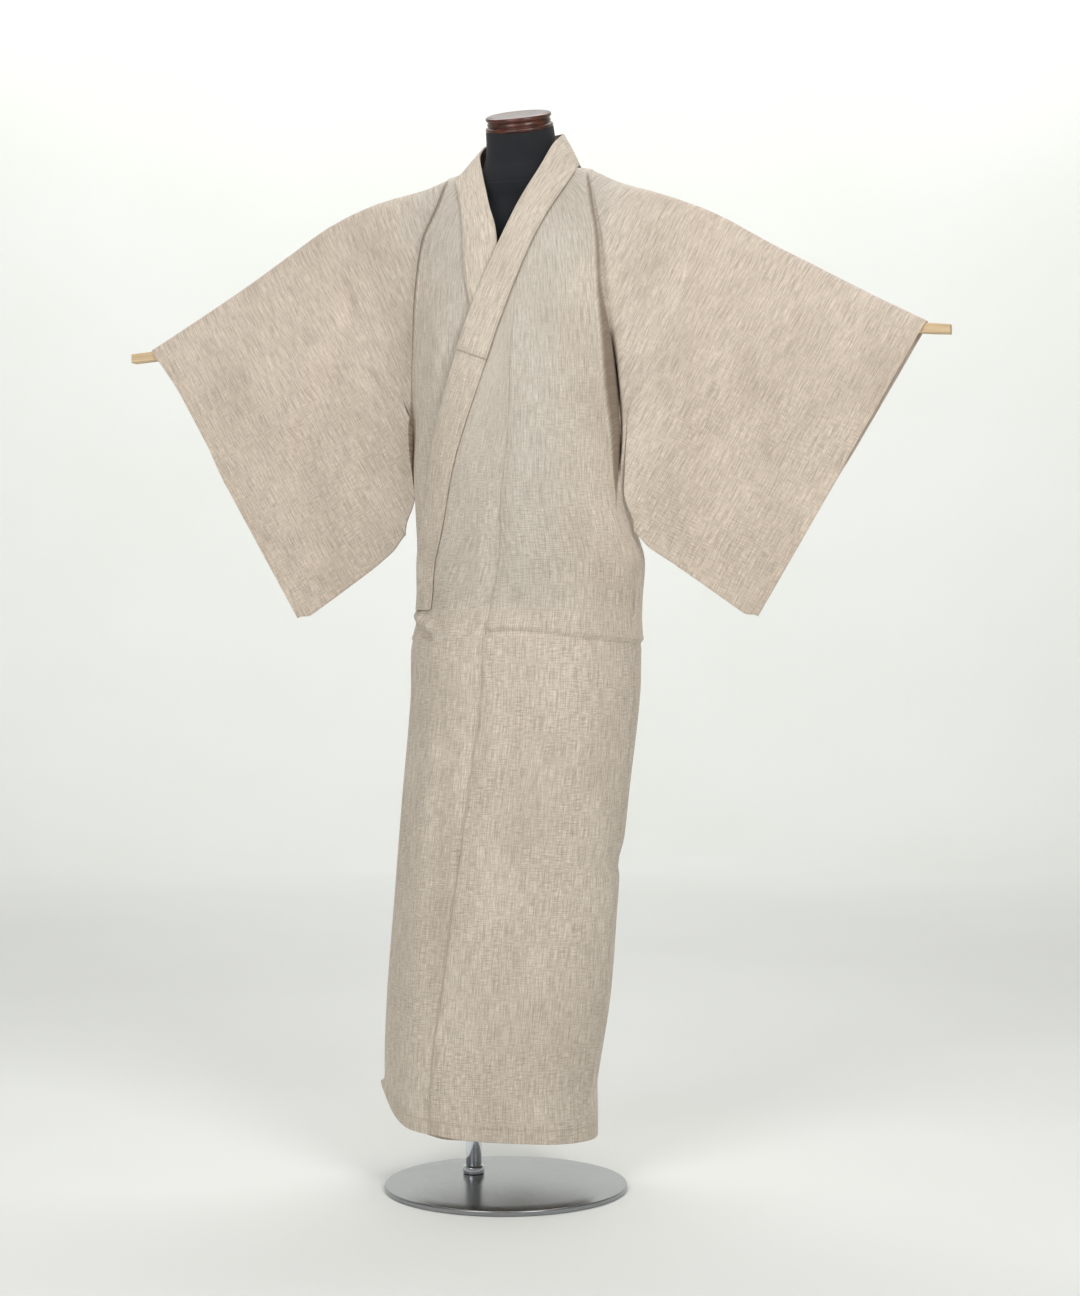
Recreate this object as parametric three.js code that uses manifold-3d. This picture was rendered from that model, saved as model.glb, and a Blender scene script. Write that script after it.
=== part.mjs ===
// A worn unlined yukata of pale beige cloth on a limbless dress form.
// Millimetres, +Z up. The front faces -Y, and X runs to the wearer's left. The origin is the
// middle of the base plate's underside, and the form's own middle stands beside it.
import * as THREE from "three";
import Module from "manifold-3d";
import { mergeVertices } from "three/addons/utils/BufferGeometryUtils.js";

const wasm = await Module();
wasm.setup();

// Cloth thickness, seam gap and the steps between cloths that lie on each other.
const CLOTH = 1.2;
const BAND = 1.6;
const SEAM_GAP = 0.3;
const WRAP_STEP = 8;
const BACK_SEAM_GAP = 0.5;
const COLLAR_STEP = 2.6;
const COVER_STEP = 2.1;

// Where the form's middle stands, seen from the middle of the plate.
const FORM_X = 12;
const FORM_Y = 35;

// Levels of the garment.
const ARMHOLE_Z = 1137;
const NECK_Z = 1508;
const TUCK_Z = 811;
const COLLAR_END_Z = 853;
const COVER_END_Z = 1212;

// Shoulder line on each side: neck point, kink at the form's shoulder tip, sleeve seam, cuff.
const NECK_X = 88;
const NECK_GAP = 2.8;
const FOLD_TOP_X = 103;
const SHOULDER_LINE = [
  { x: 88, left: 1507, right: 1508 },
  { x: 104, left: 1504, right: 1503 },
  { x: 145, left: 1482, right: 1488 },
  { x: 200, left: 1464, right: 1477 },
  { x: 240, left: 1450, right: 1467 },
  { x: 303, left: 1424, right: 1441 },
  { x: 380, left: 1379, right: 1394 },
  { x: 437, left: 1348, right: 1358 },
  { x: 491, left: 1318, right: 1326 },
  { x: 543, left: 1290, right: 1296 },
  { x: 603, left: 1259, right: 1262.5 },
];
const SEAM_TOP_X = 303;
const ARMHOLE_X = 167;
const CUFF_X = 603;

// The draped tube below the armholes and the chest above them, one row for each level:
// cx and a are the middle and half-width, front and back the reach of the cloth from cy.
const MIDDLE_Y = 7.5;
const SECTIONS = [
  { z: 60, cx: -47, a: 151, front: 146, back: 152 },
  { z: 100, cx: -47, a: 153, front: 145, back: 151 },
  { z: 159, cx: -47.4, a: 160, front: 144, back: 149 },
  { z: 277, cx: -38.2, a: 166.7, front: 143, back: 147 },
  { z: 425, cx: -27.3, a: 166.7, front: 143, back: 145 },
  { z: 572, cx: -13.4, a: 169.8, front: 142.5, back: 143 },
  { z: 720, cx: 2.8, a: 174, front: 142, back: 142 },
  { z: 809, cx: 5, a: 175, front: 142, back: 142 },
  { z: 868, cx: 10.6, a: 170.6, front: 142, back: 141 },
  { z: 928, cx: 10, a: 174.5, front: 142.5, back: 141 },
  { z: 960, cx: 6, a: 169.5, front: 143, back: 141 },
  { z: 1010, cx: -1, a: 162, front: 143, back: 141 },
  { z: 1060, cx: -2.5, a: 161, front: 143, back: 140 },
  { z: 1137, cx: 0, a: 160, front: 141, back: 137 },
  { z: 1200, cx: 0, a: 168, front: 137, back: 133 },
  { z: 1250, cx: 0, a: 172, front: 132, back: 128 },
  { z: 1320, cx: 0, a: 178, front: 121, back: 119 },
  { z: 1400, cx: 0, a: 184, front: 103, back: 103 },
  { z: 1438, cx: 0, a: 187, front: 88, back: 95 },
  { z: 1470, cx: 0, a: 188, front: 74, back: 86 },
  { z: 1515, cx: 0, a: 190, front: 62, back: 73 },
];

// Fold lines where the front hangs free of the part that the sleeve draws out, and how far
// the drawn-out part lies in front of the middle just beside them.
const FOLDS = [
  { z: 1000, left: 150, right: 158, inset: 16 },
  { z: 1137, left: 150, right: 152, inset: 14 },
  { z: 1180, left: 149, right: 150, inset: 20 },
  { z: 1250, left: 147, right: 147, inset: 32 },
  { z: 1318, left: 145, right: 141, inset: 44 },
  { z: 1398, left: 141, right: 114, inset: 54 },
  { z: 1450, left: 129, right: 97, inset: 52 },
  { z: 1508, left: 103, right: 103, inset: 42 },
];

// The collar's path, one row for each station: height and x of its outer edge, then height, x
// and reach forward of its inner edge. The inner reach counts only where the band stands free.
const TOP_COLLAR = [
  { z: 853, outer: -104, innerZ: 853, inner: -142, innerY: 0, free: 0 },
  { z: 922, outer: -94.6, innerZ: 924, inner: -137, innerY: 0, free: 0 },
  { z: 965, outer: -81.5, innerZ: 970, inner: -128, innerY: 0, free: 0 },
  { z: 1055, outer: -62, innerZ: 1066, inner: -108, innerY: 0, free: 0 },
  { z: 1101, outer: -48, innerZ: 1117, inner: -95, innerY: 0, free: 0 },
  { z: 1214, outer: -9.3, innerZ: 1232, inner: -57, innerY: 0, free: 0 },
  { z: 1255, outer: 3, innerZ: 1273, inner: -43, innerY: 0, free: 0 },
  { z: 1330, outer: 27, innerZ: 1350, inner: -15, innerY: -108, free: 0 },
  { z: 1391, outer: 48, innerZ: 1413, inner: 9, innerY: -93, free: 0 },
  { z: 1438, outer: 68, innerZ: 1470, inner: 29, innerY: -66, free: 0.6 },
  { z: 1468, outer: 80, innerZ: 1507, inner: 46.6, innerY: -45, free: 1 },
  { z: 1492, outer: 88, innerZ: 1541, inner: 57, innerY: -20, free: 1 },
];
const UNDER_COLLAR = [
  { z: 853, outer: 104, innerZ: 853, inner: 142, innerY: 0, free: 0 },
  { z: 922, outer: 90, innerZ: 924, inner: 134, innerY: 0, free: 0 },
  { z: 965, outer: 76, innerZ: 970, inner: 123, innerY: 0, free: 0 },
  { z: 1055, outer: 44, innerZ: 1066, inner: 92, innerY: 0, free: 0 },
  { z: 1101, outer: 26, innerZ: 1117, inner: 74, innerY: 0, free: 0 },
  { z: 1214, outer: -20, innerZ: 1232, inner: 28, innerY: 0, free: 0 },
  { z: 1255, outer: -34, innerZ: 1273, inner: 12, innerY: 0, free: 0 },
  { z: 1330, outer: -49, innerZ: 1350, inner: -4, innerY: -108, free: 0 },
  { z: 1391, outer: -56, innerZ: 1411, inner: -11, innerY: -90, free: 0 },
  { z: 1438, outer: -65, innerZ: 1466, inner: -34, innerY: -58, free: 0.6 },
  { z: 1468, outer: -77, innerZ: 1500, inner: -47, innerY: -40, free: 1 },
  { z: 1492, outer: -87, innerZ: 1528, inner: -58, innerY: -18, free: 1 },
];

// Round the neck: turn from the side to the middle of the back, and the band's top edge.
const NECK_BAND = [
  { turn: 90, x: 60, y: 8, left: 1558, right: 1546 },
  { turn: 60, x: 53, y: 38, left: 1567, right: 1561 },
  { turn: 30, x: 31, y: 60, left: 1570, right: 1567 },
  { turn: 0, x: 0, y: 68, left: 1570, right: 1570 },
];
const NECK_BACK_Y = 80;
const NECK_BACK_RISE = 3;
const COLLAR_LAP = 9;
const COLLAR_LIFT_Z = 1385;
const COLLAR_RISE = 1.7;

// Front overlap panels: seam and front edge as angles round the tube.
const OVERLAP = [
  { z: 60, seam: -23, edge: -76 },
  { z: 155, seam: -18, edge: -73 },
  { z: 215, seam: -16.7, edge: -71 },
  { z: 363, seam: -12.5, edge: -68 },
  { z: 550, seam: -9.3, edge: -66 },
  { z: 700, seam: -7.4, edge: -65 },
  { z: 835, seam: -5, edge: -64 },
  { z: 960, seam: 1.5, edge: -63 },
  { z: 1100, seam: 7.8, edge: -60 },
  { z: 1214, seam: 8.2, edge: -50 },
  { z: 1345, seam: 9, edge: -40 },
];
const OVERLAP_TOP_Z = 1345;
const SIDE_ANGLE = 80;

// Hem height round the tube, and the flare at the top overlap's lower corner.
const HEM = [
  { angle: -180, z: 84 },
  { angle: -110, z: 92 },
  { angle: -76, z: 126 },
  { angle: -60, z: 108 },
  { angle: -40, z: 95 },
  { angle: -15, z: 91 },
  { angle: 30, z: 84 },
  { angle: 80, z: 75 },
  { angle: 120, z: 77 },
  { angle: 180, z: 84 },
];

// Levels of the rows, above the hem's own.
const SKIRT_LEVELS = [155, 240, 330, 425, 520, 610, 690, 755, 798, 806, 812, 820, 840, 853];
const WAIST_LEVELS = [890, 928, 962, 1000, 1045, 1090, ARMHOLE_Z];
const CHEST_LEVELS = [1175, 1214, 1255, 1300, 1345, 1380, 1410, 1438, 1462, 1482, 1497, NECK_Z];

// Sleeves.
const SLEEVE_LENGTH = 490;
const CUFF_OPENING = 245;
const SLEEVE_CORNER = { x: 359, z: 833 };
const SLEEVE_INNER_CORNER = { x: 182, z: 958 };
const SLEEVE_SEWN = 1.1;
const SIDE_CLEARANCE = 1.8;
const ARMHOLE_GAP = 0.35;

// Bar through both sleeves.
const BAR_HALF = 636;
const BAR_TALL = 14;
const BAR_DEEP = 20;
const BAR_Z = 1276;
const BAR_TILT = 0.003;
const BAR_BOW = 6.9e-5;

// Dress form: half-width a, half-depth b, middle y and forward tilt of each level.
const FORM = [
  { z: 832, a: 118, b: 78, y: 4, tilt: 0 },
  { z: 836, a: 140, b: 94, y: 4, tilt: 0 },
  { z: 852, a: 150, b: 103, y: 4, tilt: 0 },
  { z: 900, a: 150, b: 107, y: 4, tilt: 0 },
  { z: 970, a: 146, b: 103, y: 3, tilt: 0 },
  { z: 1060, a: 136, b: 96, y: 2, tilt: 0 },
  { z: 1140, a: 136, b: 98, y: 2, tilt: 0 },
  { z: 1220, a: 142, b: 102, y: 2, tilt: 0 },
  { z: 1300, a: 150, b: 99, y: 3, tilt: 0 },
  { z: 1360, a: 161, b: 82, y: 3, tilt: 0 },
  { z: 1400, a: 176, b: 64, y: 2, tilt: 0 },
  { z: 1425, a: 190, b: 50, y: 1, tilt: 0 },
  { z: 1444, a: 196, b: 38, y: 0, tilt: 0 },
  { z: 1455, a: 182, b: 34, y: 0, tilt: 0 },
  { z: 1465, a: 156, b: 35, y: 1, tilt: 0 },
  { z: 1475, a: 128, b: 40, y: 3, tilt: 1 },
  { z: 1486, a: 101, b: 46, y: 6, tilt: 3 },
  { z: 1498, a: 79, b: 51, y: 9, tilt: 6 },
  { z: 1513, a: 63, b: 53, y: 9, tilt: 11 },
  { z: 1530, a: 55, b: 53, y: 7, tilt: 16 },
  { z: 1549, a: 52, b: 52, y: 1, tilt: 20 },
  { z: 1569, a: 50.5, b: 50.5, y: -6, tilt: 20 },
];
const CAP_TILT = 20;
const CAP_PROFILE = [
  { r: 49.5, h: 0 },
  { r: 50.6, h: 2.5 },
  { r: 49.6, h: 5 },
  { r: 46.8, h: 6.4 },
  { r: 47.6, h: 9 },
  { r: 47, h: 12 },
  { r: 46.2, h: 13.5 },
  { r: 48.4, h: 15.5 },
  { r: 49.2, h: 18 },
  { r: 48, h: 20.4 },
  { r: 45, h: 21.5 },
];

// Stand.
const PLATE_R = 179;
const PLATE_THICK = 8;
const POLE_R = 11.8;
const POLE_X = -65;
const POLE_Y = 44;
const SOCKET_R = 16;
const SOCKET_TALL = 12;

// Small helpers.
const mix = (a, b, t) => a + (b - a) * t;
const clamp01 = (t) => Math.min(1, Math.max(0, t));
const smooth = (t) => {
  const c = clamp01(t);
  return c * c * (3 - 2 * c);
};
const rad = THREE.MathUtils.degToRad;
const hump = (t, centre, width) => Math.exp(-(((t - centre) / width) ** 2));

// Smooth reading of a named column between the rows of a table.
function reader(table, key, column) {
  const rows = [...table].sort((p, q) => p[key] - q[key]);
  const k = rows.map((row) => row[key]);
  const v = rows.map((row) => row[column]);
  const last = rows.length - 1;
  const slope = v.map((_, i) => {
    const a = Math.max(0, i - 1);
    const b = Math.min(last, i + 1);
    return (v[b] - v[a]) / (k[b] - k[a]);
  });
  return (at) => {
    if (at <= k[0]) return v[0];
    if (at >= k[last]) return v[last];
    let i = 0;
    while (at > k[i + 1]) i += 1;
    const w = k[i + 1] - k[i];
    const t = (at - k[i]) / w;
    const t2 = t * t;
    const t3 = t2 * t;
    return (2 * t3 - 3 * t2 + 1) * v[i] + (t3 - 2 * t2 + t) * w * slope[i]
      + (3 * t2 - 2 * t3) * v[i + 1] + (t3 - t2) * w * slope[i + 1];
  };
}

const LEFT = 1;
const RIGHT = -1;
const bySide = (left, right) => ({ [LEFT]: left, [RIGHT]: right });
const sectionMiddle = reader(SECTIONS, "z", "cx");
const sectionHalf = reader(SECTIONS, "z", "a");
const frontReach = reader(SECTIONS, "z", "front");
const backReach = reader(SECTIONS, "z", "back");
const shoulderZ = bySide(reader(SHOULDER_LINE, "x", "left"), reader(SHOULDER_LINE, "x", "right"));
const foldX = bySide(reader(FOLDS, "z", "left"), reader(FOLDS, "z", "right"));
const foldInset = reader(FOLDS, "z", "inset");
const overlapSeam = reader(OVERLAP, "z", "seam");
const overlapEdge = reader(OVERLAP, "z", "edge");
const hemZ = reader(HEM, "angle", "z");
const bandColumn = (column) => bySide(
  reader(TOP_COLLAR, "z", column),
  reader(UNDER_COLLAR, "z", column),
);
const collarOuter = bandColumn("outer");
const collarInner = bandColumn("inner");
const collarInnerZ = bandColumn("innerZ");
const collarInnerY = bandColumn("innerY");
const collarFree = bandColumn("free");
const neckTopX = reader(NECK_BAND, "turn", "x");
const neckTopY = reader(NECK_BAND, "turn", "y");
const neckTopZ = bySide(reader(NECK_BAND, "turn", "left"), reader(NECK_BAND, "turn", "right"));

// A sheet is a set of points and triangles, facing away from the form. Shared points join.
class Sheet {
  constructor() {
    this.points = [];
    this.faces = [];
    this.index = new Map();
  }

  at(p) {
    const key = [p.x, p.y, p.z].map((c) => Math.round(c * 1000)).join(",");
    if (!this.index.has(key)) {
      this.index.set(key, this.points.length);
      this.points.push(p.clone());
    }
    return this.index.get(key);
  }

  face(a, b, c) {
    if (a !== b && b !== c && c !== a) this.faces.push([a, b, c]);
  }

  grid(rows, flip) {
    const ids = rows.map((row) => row.map((p) => this.at(p)));
    for (let i = 0; i + 1 < ids.length; i += 1) {
      for (let j = 0; j + 1 < ids[i].length; j += 1) {
        const quad = [ids[i][j], ids[i][j + 1], ids[i + 1][j + 1], ids[i + 1][j]];
        if (flip) quad.reverse();
        this.face(quad[0], quad[1], quad[2]);
        this.face(quad[0], quad[2], quad[3]);
      }
    }
    return this;
  }

  normals() {
    const out = this.points.map(() => new THREE.Vector3());
    for (const [a, b, c] of this.faces) {
      const ab = this.points[b].clone().sub(this.points[a]);
      const ac = this.points[c].clone().sub(this.points[a]);
      const n = ab.cross(ac);
      for (const i of [a, b, c]) out[i].add(n);
    }
    return out.map((n) => n.normalize());
  }

  moved(distance) {
    const normals = this.normals();
    const copy = new Sheet();
    copy.points = this.points.map((p, i) => p.clone().addScaledVector(normals[i], distance));
    copy.faces = this.faces;
    return copy;
  }

  // A closed wall of even thickness round the sheet.
  wall(thickness) {
    const normals = this.normals();
    const count = this.points.length;
    const position = [];
    for (const side of [0.5, -0.5]) {
      this.points.forEach((p, i) => {
        const q = p.clone().addScaledVector(normals[i], side * thickness);
        position.push(q.x, q.y, q.z);
      });
    }
    const index = [];
    const edges = new Set();
    for (const [a, b, c] of this.faces) {
      index.push(a, b, c, a + count, c + count, b + count);
      for (const [p, q] of [[a, b], [b, c], [c, a]]) edges.add(`${p},${q}`);
    }
    for (const edge of edges) {
      const [a, b] = edge.split(",").map(Number);
      if (edges.has(`${b},${a}`)) continue;
      index.push(b, a, a + count, b, a + count, b + count);
    }
    const geometry = new THREE.BufferGeometry();
    geometry.setAttribute("position", new THREE.Float32BufferAttribute(position, 3));
    geometry.setIndex(index);
    geometry.computeVertexNormals();
    return geometry;
  }
}

// The wearer's left front lies on the right one, which steps inward from its own side.
function underStep(x, z) {
  const chestStart = collarInner[LEFT](z) - 50;
  const skirtStart = sectionMiddle(z) - sectionHalf(z) - 22;
  const start = mix(chestStart, skirtStart, smooth((965 - z) / 112));
  return -WRAP_STEP * smooth((x - start) / 40);
}

// The waist tuck, sewn across the body panels only: a soft ledge that hangs over its foot.
function tuck(z) {
  return 3.6 * hump(z, TUCK_Z, 7) + 1.4 * smooth((z - TUCK_Z) / 6) * smooth((TUCK_Z + 34 - z) / 34);
}

// Broad soft folds of the skirt, small in front and deeper behind.
function drape(angle, z) {
  const low = smooth((ARMHOLE_Z - 80 - z) / 700);
  const behind = smooth((Math.abs(angle) - 95) / 50);
  const front = 1.4 * Math.cos(rad(angle * 5 + 35)) + Math.cos(rad(angle * 9 - 60));
  const rear = 4.5 * Math.cos(rad(angle * 8)) + 2.2 * Math.cos(rad(angle * 12));
  return low * mix(front, rear, behind);
}

// A point of the tube at an angle from the front; angles grow towards the wearer's left.
function tubePoint(angle, z, out) {
  const reach = Math.abs(angle) <= 90 ? frontReach(z) : backReach(z);
  const stand = out + drape(angle, z);
  return new THREE.Vector3(
    sectionMiddle(z) + (sectionHalf(z) + stand) * Math.sin(rad(angle)),
    MIDDLE_Y - (reach + stand) * Math.cos(rad(angle)),
    z,
  );
}

const angleOf = (x, z) => {
  const s = (x - sectionMiddle(z)) / sectionHalf(z);
  return THREE.MathUtils.radToDeg(Math.asin(Math.min(0.999, Math.max(-0.999, s))));
};

// Rounding of the cloth over the shoulder line: 0 on the line and 1 well below it.
const ROUND_DROP = 78;
const roundOver = (drop, height) => Math.sqrt(1 - (1 - clamp01(drop / height)) ** 2);

// A point of the front at x and z, closing towards the shoulder line.
function frontPoint(x, z, out) {
  const point = tubePoint(angleOf(x, z), z, out);
  point.y *= roundOver(NECK_Z - z, ROUND_DROP);
  return point;
}

// Rows of a body panel run round it. The first columns lie on the front or back, from the
// inner edge to the fold line, and the last ones are the part that the sleeve draws out.
const SHELL_COLUMNS = 6;
const FLAP_COLUMNS = 6;
const NECK_COLUMNS = 3;
const FOLD_WIDTH = 7;
const SEAM_HALF_DEPTH = 14;
const BACK_FOLD_ANGLE = 112;
const DRAWN_FOOT_Z = 1000;

// Where a column ends on the neckline or the shoulder line.
function topPoint(side, column, back) {
  const k = back ? column - NECK_COLUMNS : column;
  if (k < 0) return necklinePoint((90 * column) / NECK_COLUMNS, NECK_GAP);
  let x = mix(NECK_X + NECK_GAP, FOLD_TOP_X, k / SHELL_COLUMNS);
  if (k > SHELL_COLUMNS) {
    x = mix(FOLD_TOP_X + FOLD_WIDTH, SEAM_TOP_X, (k - SHELL_COLUMNS - 1) / (FLAP_COLUMNS - 1));
  }
  return new THREE.Vector3(x, 0, shoulderZ[side](x));
}

function necklinePoint(turn, out) {
  const sin = Math.sin(rad(turn));
  const cos = Math.cos(rad(turn));
  return new THREE.Vector3((NECK_X + out) * sin, (NECK_BACK_Y + out) * cos, NECK_Z + NECK_BACK_RISE * cos);
}

// The inner edge of a front, as x on its own side: overlap seam, then under the collar.
function innerEdge(side, z) {
  const seam = side * tubePoint(side * overlapSeam(z), z, 0).x;
  const lap = mix(COLLAR_LAP, -NECK_GAP, smooth((z - COLLAR_LIFT_Z) / 42));
  const under = side * collarOuter[side](z) - lap;
  return z < 1200 ? seam : Math.max(seam, under);
}

// The part drawn out by the sleeve: e is 0 beside the fold line and 1 on the armhole seam.
function drawnPoint(side, back, e, q, z) {
  const inner = foldX[side](z) + FOLD_WIDTH;
  const outer = mix(ARMHOLE_X, SEAM_TOP_X, q);
  const opening = back ? mix(-1, 1, smooth((z - ARMHOLE_Z) / 60)) : 1;
  const depth = mix(foldInset(z), SEAM_HALF_DEPTH, smooth(e)) * mix(1, opening, e ** 3);
  const topZ = shoulderZ[side](mix(FOLD_TOP_X + FOLD_WIDTH, SEAM_TOP_X, e));
  const point = new THREE.Vector3(mix(inner, outer, e), (back ? 1 : -1) * depth, z);
  point.y *= roundOver(topZ - z, mix(ROUND_DROP, 30, e));
  return point;
}

function clothStep(side, back, x, z, angle) {
  if (side === LEFT) return 0;
  if (!back) return underStep(x, z);
  const seam = tubePoint(-SIDE_ANGLE, z, 0).x;
  return underStep(seam, z) * (1 - smooth((Math.abs(angle) - SIDE_ANGLE) / 60));
}

// One row; z is its level at the inner edge and q is 0 at the armhole and 1 on the shoulder.
function panelRow(side, back, z) {
  const q = Math.max(0, (z - ARMHOLE_Z) / (NECK_Z - ARMHOLE_Z));
  const shell = SHELL_COLUMNS + (back ? NECK_COLUMNS : 0);
  const columns = shell + FLAP_COLUMNS;
  const drawn = smooth((z - DRAWN_FOOT_Z) / (ARMHOLE_Z - DRAWN_FOOT_Z));
  const row = [];
  for (let j = 0; j <= columns; j += 1) {
    const top = topPoint(side, j, back);
    const level = q > 0 ? mix(ARMHOLE_Z, top.z, q) : z;
    const share = Math.min(1, j / shell);
    const e = Math.max(0, (j - shell - 1) / (FLAP_COLUMNS - 1));
    const foldLevel = Math.max(level, DRAWN_FOOT_Z);
    const foldAngle = back ? BACK_FOLD_ANGLE : side * angleOf(side * foldX[side](foldLevel), foldLevel);
    const start = back ? 180 : side * angleOf(side * innerEdge(side, level), level);
    const seamAngle = SIDE_ANGLE + (back ? 0.12 : 0);
    const angle = j <= shell
      ? mix(start, foldAngle, share)
      : mix(foldAngle, seamAngle, (j - shell) / FLAP_COLUMNS);
    const plain = tubePoint(side * angle, level, 0);
    const out = clothStep(side, back, plain.x, level, angle) + tuck(level);
    const point = tubePoint(side * angle, level, out);
    point.x *= side;
    if (j <= shell) {
      const rounding = roundOver(top.z - level, ROUND_DROP);
      point.y = mix(top.y, point.y, q > 0 ? rounding : 1);
      point.x = mix(point.x, top.x, back ? smooth((q - 0.62) / 0.38) : q ** 40);
    } else {
      point.lerp(drawnPoint(side, back, e, q, level), drawn);
      if (back && level <= ARMHOLE_Z && j === columns) point.y += SEAM_GAP;
    }
    point.x *= side;
    row.push(point);
  }
  row[0].x += (side * (back ? BACK_SEAM_GAP : SEAM_GAP)) / 2;
  return row;
}

// Half-width of the side just under the armhole, which the sleeve's free edge follows.
function sideX(side, z) {
  return side * panelRow(side, false, z).at(-1).x;
}

// The hem lies under the first row, lower or higher round the tube.
function hemRow(row, dip) {
  return row.map((p) => {
    const angle = THREE.MathUtils.radToDeg(Math.atan2(p.x - sectionMiddle(p.z), MIDDLE_Y - p.y));
    const z = hemZ(angle) - dip * hump(angle, -14, 14);
    return new THREE.Vector3(p.x + sectionMiddle(z) - sectionMiddle(p.z), p.y, z);
  });
}

const HEM_DIP = bySide(0, 5);

function bodyPanel(side) {
  const sheet = new Sheet();
  for (const back of [false, true]) {
    const levels = [...SKIRT_LEVELS, ...WAIST_LEVELS, ...CHEST_LEVELS];
    const rows = levels.map((z) => panelRow(side, back, z));
    rows.unshift(hemRow(rows[0], HEM_DIP[side]));
    sheet.grid(rows, (side < 0) !== back);
  }
  return sheet;
}

// Front overlap panel: from its seam to its front edge, or to just under the collar.
const OVERLAP_COLUMNS = 5;

function overlapRow(side, z) {
  const seam = side * overlapSeam(z);
  const under = angleOf(collarOuter[side](z) - side * COLLAR_LAP, z);
  const edge = mix(side * overlapEdge(z), under, smooth((z - COLLAR_END_Z) / 110));
  const row = [];
  for (let j = 0; j <= OVERLAP_COLUMNS; j += 1) {
    const angle = mix(seam, edge, j / OVERLAP_COLUMNS);
    const plain = tubePoint(angle, z, 0);
    const out = side === LEFT ? 0 : underStep(plain.x, z);
    const point = tubePoint(angle, z, out);
    if (j === 0) point.x -= (side * SEAM_GAP) / 2;
    row.push(point);
  }
  return row;
}

function overlapPanel(side) {
  const levels = [...SKIRT_LEVELS, ...WAIST_LEVELS, ...CHEST_LEVELS].filter((z) => z <= OVERLAP_TOP_Z);
  const rows = levels.map((z) => overlapRow(side, z));
  rows.unshift(hemRow(rows[0], HEM_DIP[side]));
  return new Sheet().grid(rows, side > 0);
}

// The collar: one long band from the top end round the neck to the hidden end.
const BAND_COLUMNS = 4;

function bandStation(side, z) {
  const outer = frontPoint(collarOuter[side](z), z, COLLAR_STEP);
  const free = collarFree[side](z);
  const inner = new THREE.Vector3(collarInner[side](z), collarInnerY[side](z), collarInnerZ[side](z));
  const row = [];
  for (let j = 0; j <= BAND_COLUMNS; j += 1) {
    const share = j / BAND_COLUMNS;
    const x = mix(outer.x, inner.x, share);
    const level = mix(outer.z, inner.z, share);
    const step = side === LEFT ? 0 : underStep(x, level);
    const lying = frontPoint(x, level, COLLAR_STEP + step);
    const standing = outer.clone().lerp(inner, share);
    row.push(lying.lerp(standing, free * smooth(share * 2)));
  }
  return row;
}

function neckStation(side, turn) {
  const foot = necklinePoint(turn, 0);
  foot.z += COLLAR_RISE;
  const top = new THREE.Vector3(neckTopX(turn), neckTopY(turn), neckTopZ[side](turn));
  const row = [];
  for (let j = 0; j <= BAND_COLUMNS; j += 1) {
    const point = foot.clone().lerp(top, j / BAND_COLUMNS);
    point.x *= side;
    row.push(point);
  }
  return row;
}

const BAND_TOP_Z = TOP_COLLAR.at(-1).z;

function halfBand(side, endZ) {
  const rows = [];
  const steps = Math.round((BAND_TOP_Z - endZ) / 25);
  for (let i = 0; i <= steps; i += 1) rows.push(bandStation(side, mix(endZ, BAND_TOP_Z, i / steps)));
  for (let turn = 90; turn >= 0; turn -= 15) rows.push(neckStation(side, turn));
  return rows;
}

function collarSheet(endTop, endUnder) {
  const top = halfBand(LEFT, endTop);
  const under = halfBand(RIGHT, endUnder).reverse().slice(1);
  return new Sheet().grid([...top, ...under], true);
}

// Sleeve: a bag folded along its top, open at the armhole and at the upper part of the cuff.
function sleevePoint(side, face, u, s) {
  const topX = mix(SEAM_TOP_X + ARMHOLE_GAP, CUFF_X, u);
  const top = new THREE.Vector2(topX, shoulderZ[side](topX));
  const bottom = sleeveBottom(u);
  const inner = sleeveInner(s, side);
  const outer = sleeveOuter(s, side, face);
  const startTop = new THREE.Vector2(SEAM_TOP_X + ARMHOLE_GAP, shoulderZ[side](SEAM_TOP_X));
  const endTop = new THREE.Vector2(CUFF_X, shoulderZ[side](CUFF_X));
  const x = coons(u, s, top.x, bottom.x, inner.x, outer.x, startTop.x, endTop.x, sleeveBottom(0).x, sleeveBottom(1).x);
  const z = coons(u, s, top.y, bottom.y, inner.y, outer.y, startTop.y, endTop.y, sleeveBottom(0).y, sleeveBottom(1).y);
  return new THREE.Vector3(side * x, face * sleeveHalfDepth(u, s) + sleeveBack(u, s), z);
}

const coons = (u, s, top, bottom, inner, outer, c00, c10, c01, c11) => (1 - s) * top + s * bottom
  + (1 - u) * inner + u * outer
  - ((1 - u) * (1 - s) * c00 + u * (1 - s) * c10 + (1 - u) * s * c01 + u * s * c11);

// Lower edge, from the body to the cuff, its corners rounded.
function sleeveBottom(u) {
  const x = mix(SLEEVE_INNER_CORNER.x, SLEEVE_CORNER.x, u);
  const z = mix(SLEEVE_INNER_CORNER.z, SLEEVE_CORNER.z, u);
  const lift = 9 * smooth((0.13 - u) / 0.13) + 10 * smooth((u - 0.88) / 0.12);
  return new THREE.Vector2(x, z + lift);
}

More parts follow.
